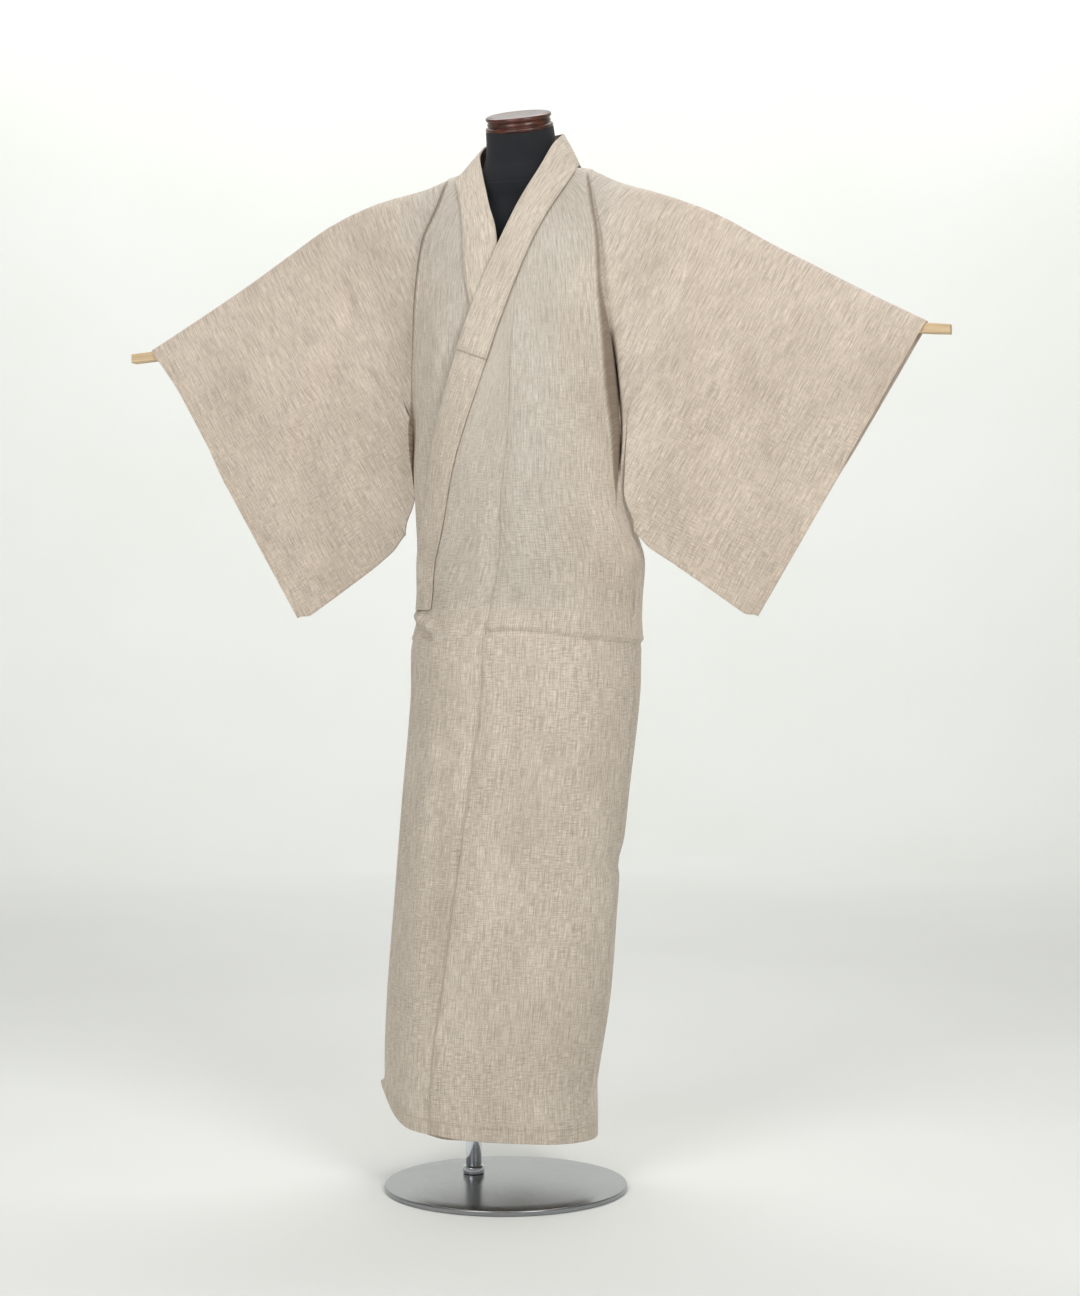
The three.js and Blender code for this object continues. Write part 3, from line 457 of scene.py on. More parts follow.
def drawn_point(side, back, e, q, z):
    """The part drawn out by the sleeve: e is 0 beside the fold line and 1 on the armhole seam."""
    inner = fold_x[side](z) + FOLD_WIDTH
    outer = mix(ARMHOLE_X, SEAM_TOP_X, q)
    opening = mix(-1, 1, smooth((z - ARMHOLE_Z) / 60)) if back else 1
    past = smooth(e * (outer - inner) / VALLEY_WIDTH)
    valley = VALLEY_DEPTH * smooth((VALLEY_TOP_Z - z) / 130) * (1 - past)
    depth = mix(fold_inset(z), SEAM_HALF_DEPTH, smooth(e)) * mix(1, opening, e ** 3) - valley
    top_z = shoulder_z[side](mix(FOLD_TOP_X + FOLD_WIDTH, SEAM_TOP_X, e))
    y = (1 if back else -1) * depth * round_over(top_z - z, mix(ROUND_DROP, 30, e))
    return [mix(inner, outer, e), y, z]


def cloth_step(side, back, x, z, angle):
    if side == LEFT:
        return 0.0
    if not back:
        return under_step(x, z)
    seam = tube_point(-SIDE_ANGLE, z, 0)[0]
    return under_step(seam, z) * (1 - smooth((abs(angle) - SIDE_ANGLE) / 60))


def panel_point(side, back, z, j):
    """A point of a body panel: z is its level at the inner edge, j its column, both smooth."""
    q = max(0.0, (z - ARMHOLE_Z) / (NECK_Z - ARMHOLE_Z))
    shell = SHELL_COLUMNS + (NECK_COLUMNS if back else 0)
    columns = shell + FLAP_COLUMNS
    drawn = smooth((z - DRAWN_FOOT_Z) / (ARMHOLE_Z - DRAWN_FOOT_Z))
    top = top_point(side, j, back)
    level = mix(ARMHOLE_Z, top[2], q) if q > 0 else z
    fold_level = max(level, DRAWN_FOOT_Z)
    fold_angle = BACK_FOLD_ANGLE if back else side * angle_of(side * fold_x[side](fold_level), fold_level)
    start = 180.0 if back else side * angle_of(side * inner_edge(side, level), level)
    seam_angle = SIDE_ANGLE + (0.12 if back else 0)
    if j <= shell:
        angle = mix(start, fold_angle, j / shell)
    else:
        angle = mix(fold_angle, seam_angle, (j - shell) / FLAP_COLUMNS)
    plain = tube_point(side * angle, level, 0)
    part = "back" if back else "front"
    press = crease(part, side, plain[0], level)
    out = cloth_step(side, back, plain[0], level, angle) + tuck(level, side * angle) + press
    point = tube_point(side * angle, level, out)
    point[0] *= side
    rounding = round_over(top[2] - level, ROUND_DROP) if q > 0 else 1.0
    if j <= shell:
        point[1] = mix(top[1], point[1], rounding)
        point[0] = mix(point[0], top[0], smooth((q - 0.62) / 0.38) if back else q ** 40)
    else:
        e = max(0.0, (j - shell - 1) / (FLAP_COLUMNS - 1))
        away = drawn_point(side, back, e, q, level)
        if j < shell + 1:
            edge = panel_point(side, back, z, shell)
            edge[0] *= side
            t = j - shell
            over = FOLD_BULGE * math.sin(math.pi * t) * drawn * smooth((NECK_Z - level) / 60)
            turned = [
                mix(edge[0], away[0], math.sin(t * math.pi / 2)) + over,
                mix(edge[1], away[1], 1 - math.cos(t * math.pi / 2)),
                mix(edge[2], level, t),
            ]
            point = [mix(a, b, drawn) for a, b in zip(point, turned)]
        else:
            point = [mix(a, b, drawn) for a, b in zip(point, away)]
        if back and level <= ARMHOLE_Z and j == columns:
            point[1] += SEAM_GAP
    point[0] *= side
    if j == 0:
        point[0] += side * (BACK_SEAM_GAP if back else SEWN_GAP) / 2
    return point


def turn_of(x, y, z):
    """The angle round the tube where a point lies, in radians."""
    return math.atan2(x - section_middle(z), MIDDLE_Y - y)


def hem_low(side, angle):
    return hem_z(angle) - HEM_DIP[side] * hump(angle, HEM_DIP_AT, HEM_DIP_WIDE)


def hang_hem(side, row_point, share):
    """Below the first full row the cloth runs down to the hem; share is 0 on the hem."""
    x, y, z = row_point
    angle = math.degrees(turn_of(x, y, z))
    foot = mix(hem_low(side, angle), z, share)
    flare = HEM_FLARE * hump(angle, HEM_FLARE_AT, 9) * smooth((HEM_FLARE_SHARE - share) / HEM_FLARE_SHARE)
    return [x + section_middle(foot) - section_middle(z) - flare, y, foot]


def overlap_point(side, z, share):
    seam = side * overlap_seam(z)
    under = angle_of(collar_outer[side](z) - side * COLLAR_LAP, z)
    edge = mix(side * overlap_edge(z), under, smooth((z - COLLAR_END_Z) / 110))
    angle = mix(seam, edge, share)
    plain = tube_point(angle, z, 0)
    press = crease("front", side, plain[0], z) if side == LEFT else 0.0
    out = press if side == LEFT else under_step(plain[0], z)
    point = tube_point(angle, z, out)
    if share == 0:
        point[0] -= side * SEWN_GAP / 2
    return point


BAND_COLUMNS = 10
BAND_WIDTH = 0.055


def band_station(side, z, lift):
    outer = front_point(collar_outer[side](z), z, COLLAR_STEP)
    free = collar_free[side](z)
    inner = [collar_inner[side](z), collar_inner_y[side](z), collar_inner_z[side](z)]
    row = []
    for j in range(BAND_COLUMNS + 1):
        share = j / BAND_COLUMNS
        x = mix(outer[0], inner[0], share)
        level = mix(outer[2], inner[2], share)
        step = 0.0 if side == LEFT else under_step(x, level)
        puff = BAND_PUFF * math.sin(math.pi * share)
        lying = front_point(x, level, COLLAR_STEP + step + lift + puff)
        standing = [mix(a, b, share) for a, b in zip(outer, inner)]
        standing[1] -= lift + puff
        row.append([mix(a, b, free * smooth(share * 2)) for a, b in zip(lying, standing)])
    return row


def neck_station(side, turn, lift):
    foot = neckline_point(turn, lift)
    foot[2] += COLLAR_RISE
    top = [neck_top_x(turn), neck_top_y(turn), neck_top_z[side](turn)]
    top[0] += lift * sin_deg(turn)
    top[1] += lift * cos_deg(turn)
    row = []
    for j in range(BAND_COLUMNS + 1):
        share = j / BAND_COLUMNS
        puff = NECK_PUFF * math.sin(math.pi * share)
        x = mix(foot[0], top[0], share) + puff * sin_deg(turn)
        y = mix(foot[1], top[1], share) + puff * cos_deg(turn)
        row.append([side * x, y, mix(foot[2], top[2], share)])
    return row


BAND_TOP_Z = TOP_COLLAR[-1][0]
BAND_STATION_STEP = 25


def half_band(side, end_z, lift):
    steps = round((BAND_TOP_Z - end_z) / BAND_STATION_STEP)
    rows = [band_station(side, mix(end_z, BAND_TOP_Z, i / steps), lift) for i in range(steps + 1)]
    return rows + [neck_station(side, turn, lift) for turn in range(90, -1, -15)]


def denser(rows, times):
    """Rows on one smooth curve through the given ones."""
    last = len(rows) - 1
    out = []
    for i in range(last):
        a, b, c, d = rows[max(0, i - 1)], rows[i], rows[i + 1], rows[min(last, i + 2)]
        for k in range(times):
            t = k / times
            row = []
            for pa, pb, pc, pd in zip(a, b, c, d):
                row.append([
                    0.5 * (2 * vb + (vc - va) * t + (2 * va - 5 * vb + 4 * vc - vd) * t * t
                           + (3 * vb - va - 3 * vc + vd) * t * t * t)
                    for va, vb, vc, vd in zip(pa, pb, pc, pd)
                ])
            out.append(row)
    out.append(rows[last])
    return out


def collar_rows(end_z, lift):
    top = half_band(LEFT, end_z, lift)
    under = half_band(RIGHT, end_z, lift)
    under.reverse()
    return denser(top + under[1:], 5)


def sleeve_bottom(u):
    x = mix(SLEEVE_INNER_CORNER[0], SLEEVE_CORNER[0], u)
    z = mix(SLEEVE_INNER_CORNER[1], SLEEVE_CORNER[1], u)
    return x, z + 9 * smooth((0.13 - u) / 0.13) + 10 * smooth((u - 0.88) / 0.12)


SIDE_X = {}


def side_x(z):
    """Half-width of the sides just under the armhole, which the sleeves' free edges follow."""
    key = round(z)
    if key not in SIDE_X:
        last = SHELL_COLUMNS + FLAP_COLUMNS
        SIDE_X[key] = max(side * panel_point(side, False, key, last)[0] for side in (LEFT, RIGHT))
    return SIDE_X[key]


def sleeve_inner(s, side):
    if s <= SEWN_SHARE:
        t = s / SEWN_SHARE
        return mix(SEAM_TOP_X, ARMHOLE_X, t) + ARMHOLE_GAP, mix(shoulder_z[side](SEAM_TOP_X), ARMHOLE_Z, t)
    t = (s - SEWN_SHARE) / (1 - SEWN_SHARE)
    corner = sleeve_bottom(0)
    z = mix(ARMHOLE_Z, corner[1], t)
    return mix(side_x(z) + SIDE_CLEARANCE, corner[0], smooth((t - 0.6) / 0.4)), z


def sleeve_outer(s, side, face):
    corner = sleeve_bottom(1)
    x = mix(CUFF_X, corner[0], s)
    z = mix(shoulder_z[side](CUFF_X), corner[1], s)
    opening = CUFF_OPENING / SLEEVE_LENGTH
    draw = 9 * math.sin(math.pi * clamp01(s / opening)) ** 0.8 if side < 0 and face < 0 else 0
    return x - draw, z + draw * 0.5


def sleeve_half_depth(u, s):
    width = mix(SEAM_HALF_DEPTH, 13.2, u)
    rounded = round_over(s * SLEEVE_LENGTH, mix(30, 9, smooth(u * 1.2)))
    lower = mix(width, 6.5, smooth((s - 0.16) / 0.5))
    sewn_bottom = smooth((1 - s) / 0.16)
    sewn_cuff = max(smooth((1 - u) / 0.2), smooth((0.54 - s) / 0.1))
    sewn_body = max(smooth(u / 0.25), smooth((0.68 - s) / 0.06))
    body = mix(lower, SEAM_HALF_DEPTH, smooth((0.1 - u) / 0.1) * smooth((0.7 - s) / 0.1))
    return max(SLEEVE_SEWN * clamp01(s * 40), body * rounded * sewn_bottom * sewn_cuff * sewn_body)


def sleeve_point(side, face, u, s):
    start_x = SEAM_TOP_X + ARMHOLE_GAP
    top_x = mix(start_x, CUFF_X, u)
    top = (top_x, shoulder_z[side](top_x))
    bottom = sleeve_bottom(u)
    inner = sleeve_inner(s, side)
    outer = sleeve_outer(s, side, face)
    corners = (
        (start_x, shoulder_z[side](SEAM_TOP_X)), (CUFF_X, shoulder_z[side](CUFF_X)),
        sleeve_bottom(0), sleeve_bottom(1),
    )
    place = []
    for k in (0, 1):
        place.append(
            (1 - s) * top[k] + s * bottom[k] + (1 - u) * inner[k] + u * outer[k]
            - ((1 - u) * (1 - s) * corners[0][k] + u * (1 - s) * corners[1][k]
               + (1 - u) * s * corners[2][k] + u * s * corners[3][k]))
    swing = 5 * math.sin(math.pi * u) * smooth((s - 0.38) / 0.3)
    swing -= SEAM_HALF_DEPTH * smooth((s - 0.58) / 0.1) * smooth((0.35 - u) / 0.35)
    part = "sleeve_front" if face < 0 else "sleeve_back"
    free = smooth(s / 0.06) * smooth((1 - s) / 0.06) * smooth(u / 0.06) * smooth((1 - u) / 0.06)
    press = crease(part, side, place[0], place[1]) * free
    bar_gap = abs(place[1] - (BAR_Z - BAR_BOW * place[0] ** 2))
    press *= 1 - 0.85 * hump(bar_gap, 0, 30)
    half = sleeve_half_depth(u, s)
    return [side * place[0], face * (half + max(press, 1.0 - half)) + swing, place[1]]


def add_piece(name, mesh, material, node, slot):
    """Link a mesh as a piece that stands for a node of the part and rides with its root."""
    mesh.materials.append(material)
    obj = bpy.data.objects.new(name, mesh)
    bpy.context.collection.objects.link(obj)
    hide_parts(node)
    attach(obj, "root")
    return obj


class Cloth:
    """Cloth built as grids. Each vertex also carries three marks for the material: how much the
    dark form shows through, how much stitched lines and painted shade darken it, and where the
    cloth is doubled."""

    def __init__(self, node, thickness=CLOTH):
        self.node = node
        self.thickness = thickness
        self.points = []
        self.marks = []
        self.faces = []
        self.maps = []
        self.index = {}

    def at(self, point, mark):
        key = tuple(round(c * 500) for c in point)
        if key not in self.index:
            self.index[key] = len(self.points)
            self.points.append(((point[0] + FORM_X) * MM, (point[1] + FORM_Y) * MM, point[2] * MM))
            self.marks.append(mark)
        return self.index[key]

    def grid(self, rows, marks, maps, flip):
        """maps(i, j) gives the cloth coordinates of the corners of cell i, j."""
        ids = [[self.at(p, m) for p, m in zip(row, line)] for row, line in zip(rows, marks)]
        for i in range(len(ids) - 1):
            for j in range(len(ids[i]) - 1):
                corners = [(i, j), (i, j + 1), (i + 1, j + 1), (i + 1, j)]
                if flip:
                    corners.reverse()
                face = [ids[a][b] for a, b in corners]
                if len(set(face)) < 4:
                    corners = [c for k, c in enumerate(corners) if face[k] not in face[:k]]
                    face = [ids[a][b] for a, b in corners]
                if len(face) < 3:
                    continue
                self.faces.append(face)
                self.maps.append([maps(i, j, a, b) for a, b in corners])
        return self

    def build(self, material):
        name = "yukata_" + self.node
        mesh = bpy.data.meshes.new(name)
        mesh.from_pydata(self.points, [], self.faces)
        mesh.polygons.foreach_set("use_smooth", [True] * len(mesh.polygons))
        layer = mesh.uv_layers.new(name="cloth")
        flat = [value for face in self.maps for pair in face for value in pair]
        layer.data.foreach_set("uv", flat)
        marks = mesh.color_attributes.new(name="marks", type="FLOAT_COLOR", domain="POINT")
        marks.data.foreach_set("color", [value for mark in self.marks for value in (*mark, 1.0)])
        obj = add_piece(name, mesh, material, self.node, "cloth")
        solid = obj.modifiers.new("thickness", "SOLIDIFY")
        solid.thickness = self.thickness * MM
        solid.offset = 0.0
        solid.use_even_offset = False
        even = obj.modifiers.new("flat_edges", "WEIGHTED_NORMAL")
        even.weight = 100
        return obj


def spread(start, end, step):
    count = max(1, round((end - start) / step))
    return [mix(start, end, i / count) for i in range(count + 1)]


def chain(start, *stretches):
    """Values from start on through stretches, each given as its end and its step."""
    values = [start]
    for end, step in stretches:
        values += spread(values[-1], end, step)[1:]
    return values


# Heights of the rows, closer together at the tuck and over the shoulder.
PANEL_LEVELS = chain(HEM_ROW_Z, (780, 14), (860, 2.5), (1400, 10), (1480, 5), (NECK_Z, 2.5))
HEM_SHARES = [0, 0.02, 0.05, 0.1, 0.16, 0.22, 0.26, 0.29, 0.32, 0.38, 0.5, 0.65, 0.82]
HEM_BAND = 20.0
ARC_RADIUS = 0.158
FLAP_WARP = (0.428, 0.904)
SLEEVE_WARP = (0.482, 0.877)
# Each piece is cut from its own stretch of cloth, so that no two show the same streaks.
BODY_SHIFT = 0.7
BACK_SHIFT = 3.1
FLAP_SHIFT = 1.3
OVERLAP_SHIFT = 5.3
SLEEVE_SHIFT = 7.7
SLEEVE_BACK_SHIFT = 2.9
COLLAR_SHIFT = 11.3
COVER_SHIFT = 14.9
STITCH_MARK = 0.2
SHOW_FOOT_Z = 838.0
SHOW_TOP_Z = 1505.0


def hung_rows(side, levels, make_row):
    """Rows of a panel from the hem up: the lowest level's row is carried down to the hem."""
    first = make_row(levels[0])
    rows = [[hang_hem(side, point, share) for point in first] for share in HEM_SHARES]
    return rows + [first] + [make_row(z) for z in levels[1:]]


def form_behind(x, y, z):
    """How much the dark form shows through the cloth."""
    below = smooth((z - SHOW_FOOT_Z) / 30)
    width = mix(128, 186, smooth((z - 1320) / 100))
    aside = smooth((width + 14 - abs(x)) / 80)
    above = smooth((SHOW_TOP_Z - z) / 24) * 0.5 + 0.5
    return below * aside * above


def hem_mark(side, point):
    """Marks of the hem's stitched line and of its doubled cloth."""
    over = point[2] - hem_low(side, math.degrees(turn_of(*point)))
    return hump(over, HEM_BAND, 1.4), smooth((HEM_BAND - over) / 1.5)


def turned_map(side, x, z, warp, shift):
    """Cloth coordinates where the warp leans, away from the body at the top."""
    u = warp[1] * side * x - warp[0] * z
    v = warp[0] * side * x + warp[1] * z
    return (u * MM * side + shift, v * MM)


def recess(side, past, z):
    """Shade in the hollow behind a fold line; past is how many columns lie beyond the fold."""
    reach = mix(0.62, 1.7, smooth((1330 - z) / 130)) if side == LEFT else 1.25
    run = smooth((z - 985) / 60) * smooth((NECK_Z - 6 - z) / 20)
    return run * 0.85 * smooth(past / 0.3) * smooth((reach - past) / 0.35)


def body_panel(side):
    sheet = Cloth("body_" + SIDE_WORD[side])
    for back in (False, True):
        shell = SHELL_COLUMNS + (NECK_COLUMNS if back else 0)
        columns = chain(0, (shell, 0.125), (shell + 1, 0.1), (shell + FLAP_COLUMNS, 0.14))
        rows = hung_rows(side, PANEL_LEVELS, lambda z: [panel_point(side, back, z, j) for j in columns])
        shift = BODY_SHIFT * side + (BACK_SHIFT if back else 0.0)

        def mark(j, point):
            z = point[2]
            dark_mark, double = hem_mark(side, point)
            behind = form_behind(*point) * (0.9 if back else 1.0)
            inner_seam = hump(j, 0, 0.05) * 0.12 if z < 1240 or back else 0.0
            side_seam = hump(j, shell + FLAP_COLUMNS, 0.06) * 0.04
            # Painted shade: a thin dark line under the tuck's ledge, and the hollow behind the fold line.
            foot = hump(z, tuck_foot(math.degrees(turn_of(*point))) - 5.5, 1.6) * 0.16
            shade = recess(side, j - shell, z)
            return behind, max(dark_mark * STITCH_MARK, inner_seam, side_seam, foot, shade), double

        def maps(i, j, a, b):
            x, y, z = rows[a][b]
            if columns[j] >= shell and rows[i][j][2] > DRAWN_FOOT_Z + 70:
                return turned_map(side, x, z, FLAP_WARP, shift + FLAP_SHIFT)
            angle = turn_of(x, y, z)
            if back and angle < 0:
                angle += 2 * math.pi
            return (angle * ARC_RADIUS + shift, z * MM)

        marks = [[mark(j, point) for j, point in zip(columns, row)] for row in rows]
        sheet.grid(rows, marks, maps, (side < 0) != back)
    return sheet


def overlap_panel(side):
    shares = spread(0, 1, 0.04)
    levels = [z for z in PANEL_LEVELS if z <= OVERLAP_TOP_Z]
    rows = hung_rows(side, levels, lambda z: [overlap_point(side, z, share) for share in shares])

    def mark(share, point):
        dark_mark, double = hem_mark(side, point)
        edge = hump(share, 0.93, 0.012) if point[2] < COLLAR_END_Z else 0.0
        seam = hump(share, 0, 0.014) * mix(0.4, 0.12, smooth((point[2] - 760) / 60))
        double = max(double, smooth((share - 0.92) / 0.02) * 0.8)
        return form_behind(*point) * 0.7, max(dark_mark * STITCH_MARK, seam, edge * STITCH_MARK), double

    def maps(i, j, a, b):
        return (shares[b] * 0.155 + OVERLAP_SHIFT * side, rows[a][b][2] * MM)

    marks = [[mark(share, point) for share, point in zip(shares, row)] for row in rows]
    return Cloth("overlap_" + SIDE_WORD[side]).grid(rows, marks, maps, side > 0)


def band_sheet(node, thickness, end_z, lift, shift):
    rows = collar_rows(end_z, lift)
    lengths = [0.0]
    for a, b in zip(rows, rows[1:]):
        lengths.append(lengths[-1] + math.dist(a[BAND_COLUMNS // 2], b[BAND_COLUMNS // 2]))

    def mark(along, column, point):
        near_end = min(along, lengths[-1] - along)
        edge = max(hump(column / BAND_COLUMNS, 0, 0.05), hump(near_end, 2.5, 1.6) if lift else 0.0)
        behind = form_behind(*point) * 0.25 * smooth((1480 - point[2]) / 60)
        return behind, edge * STITCH_MARK, 1.0

    def maps(i, j, a, b):
        return (b / BAND_COLUMNS * BAND_WIDTH + shift, lengths[a] * MM)

    marks = [[mark(along, j, point) for j, point in enumerate(row)] for along, row in zip(lengths, rows)]
    return Cloth(node, thickness).grid(rows, marks, maps, True)


SLEEVE_DOWNS = ([0, 0.003, 0.007, 0.012, 0.018, 0.026, 0.036, 0.048] + spread(0.062, 0.96, 0.0165)
                + [0.97, 0.98, 0.99, 1.0])
SLEEVE_ACROSS = [0, 0.012, 0.03] + spread(0.05, 0.93, 0.022) + [0.95, 0.97, 0.985, 1.0]


def sleeve_sheet(side):
    """Front and back in one sheet, from the front's lower edge up and over to the back's."""
    steps = [(-1, s) for s in reversed(SLEEVE_DOWNS)] + [(1, s) for s in SLEEVE_DOWNS[1:]]
    rows = [[sleeve_point(side, face, u, s) for u in SLEEVE_ACROSS] for face, s in steps]

    def mark(s, u):
        cuff = hump(u, 0.965, 0.006) * (0.175 if s < 0.5 else 0.0)
        return 0.0, max(hump(s, 1, 0.004) * 0.1, cuff), smooth((u - 0.96) / 0.01) * 0.8

    def maps(i, j, a, b):
        x, y, z = rows[a][b]
        shift = SLEEVE_SHIFT * side + (SLEEVE_BACK_SHIFT if steps[i][0] > 0 else 0.0)
        return turned_map(side, x, z, SLEEVE_WARP, shift)

    marks = [[mark(s, u) for u in SLEEVE_ACROSS] for face, s in steps]
    return Cloth("sleeve_" + SIDE_WORD[side]).grid(rows, marks, maps, side < 0)


class Surface:
    """A Principled material, with short ways to make its nodes and join them."""

    def __init__(self, name):
        self.material = bpy.data.materials.new(name)
        self.material.use_nodes = True
        self.nodes = self.material.node_tree.nodes
        self.links = self.material.node_tree.links
        self.shader = self.nodes["Principled BSDF"]

    def node(self, kind, **values):
        made = self.nodes.new(kind)
        for key, value in values.items():
            setattr(made, key, value)
        return made

    def place(self):
        """Object coordinates in metres."""
        return self.node("ShaderNodeTexCoord").outputs["Object"]

    def feed(self, socket, value):
        """Give a socket a colour or a number, or the output of another node."""
        if isinstance(value, tuple):
            socket.default_value = (*value, 1.0)
        elif isinstance(value, (float, int)):
            socket.default_value = value
        else:
            self.links.new(value, socket)

    def noise(self, vector, scale, detail, rough):
        """Noise in stretched coordinates; scale is three numbers."""
        mapping = self.node("ShaderNodeMapping")
        mapping.inputs["Scale"].default_value = scale
        self.links.new(vector, mapping.inputs["Vector"])
        made = self.node("ShaderNodeTexNoise")
        for key, value in (("Scale", 1.0), ("Detail", detail), ("Roughness", rough)):
            made.inputs[key].default_value = value
        self.links.new(mapping.outputs["Vector"], made.inputs["Vector"])
        return made.outputs["Fac"]

    def remap(self, value, low, high, out_low=0.0, out_high=1.0):
        made = self.node("ShaderNodeMapRange")
        for key, limit in (("From Min", low), ("From Max", high), ("To Min", out_low), ("To Max", out_high)):
            made.inputs[key].default_value = limit
        self.links.new(value, made.inputs["Value"])
        return made.outputs["Result"]

    def blend(self, factor, first, second, way="MIX"):
        made = self.node("ShaderNodeMix", data_type="RGBA", blend_type=way)
        for socket, value in ((0, factor), (6, first), (7, second)):
            self.feed(made.inputs[socket], value)
        return made.outputs[2]

    def calculate(self, operation, first, second):
        made = self.node("ShaderNodeMath", operation=operation)
        for socket, value in enumerate((first, second)):
            self.feed(made.inputs[socket], value)
        return made.outputs[0]

    def bump(self, height, strength, distance):
        made = self.node("ShaderNodeBump")
        made.inputs["Strength"].default_value = strength
        made.inputs["Distance"].default_value = distance
        self.links.new(height, made.inputs["Height"])
        self.links.new(made.outputs["Normal"], self.shader.inputs["Normal"])

    def dress(self, colour, values):
        """Join the colour to the shader and set its constant values."""
        self.links.new(colour, self.shader.inputs["Base Color"])
        for key, value in values.items():
            self.shader.inputs[key].default_value = value
        return self.material


def linear(r, g, b):
    """Linear colour from display values of 0 to 255."""
    out = []
    for value in (r, g, b):
        c = value / 255
        out.append(c / 12.92 if c <= 0.04045 else ((c + 0.055) / 1.055) ** 2.4)
    return tuple(out)


CLOTH_LIGHT = linear(237, 225, 210)
CLOTH_DARK = linear(151, 136, 119)
CLOTH_STREAK = linear(142, 129, 115)
CLOTH_OVER_FORM = linear(205, 202, 194)
CLOTH_DOUBLE = linear(239, 225, 208)
CLOTH_STITCH_AND_SHADE = linear(112, 91, 70)
SLEEVE_TINT = (1.0, 0.965, 0.955)
SLEEVE_TINT_FROM = (0.14, 0.26)
WEFT_FADE = (1.3, 0.95)
COVER_BLACK = (linear(30, 31, 35), linear(37, 38, 43))
COVER_KNIT = linear(52, 53, 58)
CAP_RED = (linear(98, 48, 31), linear(44, 20, 13))
BAR_PALE = (linear(228, 204, 166), linear(196, 164, 122))
SATIN_STEEL = (linear(158, 159, 161), linear(144, 146, 149))
CHROME = (linear(214, 218, 224), linear(196, 202, 208))
GROUND_PALE = (linear(243, 244, 240), linear(247, 248, 245))


def cloth_material():
    """Plain weave: warp streaks, a fainter weft, uneven threads and a soft sheen."""
    skin = Surface("yukata_cloth")
    weave = skin.node("ShaderNodeUVMap", uv_map="cloth").outputs["UV"]
    streak = skin.noise(weave, (580.0, 27.0, 1.0), 3.0, 0.6)
    fine = skin.noise(weave, (1100.0, 80.0, 1.0), 2.0, 0.6)
    weft = skin.noise(weave, (60.0, 700.0, 1.0), 2.0, 0.6)
    mottle = skin.noise(weave, (11.0, 6.0, 1.0), 3.0, 0.5)
    patch = skin.noise(weave, (14.0, 9.0, 1.0), 2.0, 0.5)
    split = skin.node("ShaderNodeSeparateColor")
    skin.feed(split.inputs["Color"], skin.node("ShaderNodeVertexColor", layer_name="marks").outputs["Color"])
    behind, dark_mark, double = split.outputs[0], split.outputs[1], split.outputs[2]
    at = skin.node("ShaderNodeSeparateXYZ")
    skin.feed(at.inputs[0], skin.place())

    base = skin.blend(skin.remap(behind, 0, 1, 0, 0.5), CLOTH_LIGHT, CLOTH_OVER_FORM)
    base = skin.blend(skin.remap(double, 0, 1, 0, 0.55), base, CLOTH_DOUBLE)
    base = skin.blend(skin.remap(mottle, 0.4, 0.68, 0, 0.2), base, CLOTH_DARK)
    base = skin.blend(skin.remap(streak, 0.42, 0.74, 0, 0.62), base, CLOTH_STREAK)
    base = skin.blend(skin.remap(fine, 0.42, 0.72, 0, 0.46), base, CLOTH_DARK)
    # The weft shows more in the skirt than in the chest, and in patches.
    low = skin.remap(at.outputs[2], *WEFT_FADE, 0.35, 1.0)
    grid = skin.calculate("MULTIPLY", skin.remap(weft, 0.42, 0.7, 0, 0.62), low)
    grid = skin.calculate("MULTIPLY", grid, skin.remap(patch, 0.35, 0.65, 0.55, 1.0))
    base = skin.blend(grid, base, CLOTH_DARK)
    # Stitched lines darken the cloth here, and so does painted shade in the hollows behind the fold lines
    # and under the tuck's ledge.
    base = skin.blend(skin.remap(dark_mark, 0, 1, 0, 0.85), base, CLOTH_STITCH_AND_SHADE)
    # The sleeves, away from the form's middle, are a little warmer.
    aside = skin.calculate("SUBTRACT", at.outputs[0], FORM_X * MM)
    aside = skin.calculate("ABSOLUTE", aside, 0.0)
    base = skin.blend(skin.remap(aside, *SLEEVE_TINT_FROM), base, SLEEVE_TINT, "MULTIPLY")
    threads = skin.calculate("ADD", streak, fine)
    skin.bump(skin.calculate("ADD", threads, weft), 0.35, 0.0007)
    return skin.dress(base, {
        "Roughness": 0.92, "Specular IOR Level": 0.25, "Sheen Weight": 0.12, "Sheen Roughness": 0.5,
    })


def form_material():
    """Smooth black cover with a very fine knit."""
    skin = Surface("form_cover")
    place = skin.place()
    knit = skin.noise(place, (1500.0, 1500.0, 900.0), 2.0, 0.6)
    cloud = skin.noise(place, (14.0, 14.0, 9.0), 2.0, 0.5)
    base = skin.blend(skin.remap(cloud, 0.3, 0.7, 0, 1), *COVER_BLACK)
    base = skin.blend(skin.remap(knit, 0.45, 0.8, 0, 0.5), base, COVER_KNIT)
    skin.bump(knit, 0.25, 0.0004)
    return skin.dress(base, {"Roughness": 0.85, "Sheen Weight": 0.12, "Specular IOR Level": 0.3})


def wood_material(name, tones, roughness, coat, grain):
    """Wood of a light and a dark tone; grain is how fine it is along each axis."""
    skin = Surface(name)
    place = skin.place()
    broad = skin.noise(place, grain, 4.0, 0.6)
    fine = skin.noise(place, tuple(5 * g for g in grain), 2.0, 0.6)
    base = skin.blend(skin.remap(broad, 0.35, 0.68, 0, 1), *tones)
    base = skin.blend(skin.remap(fine, 0.5, 0.8, 0, 0.5), base, tones[1])
    skin.bump(broad, 0.12, 0.0004)
    return skin.dress(base, {"Roughness": roughness, "Coat Weight": coat, "Coat Roughness": 0.08})


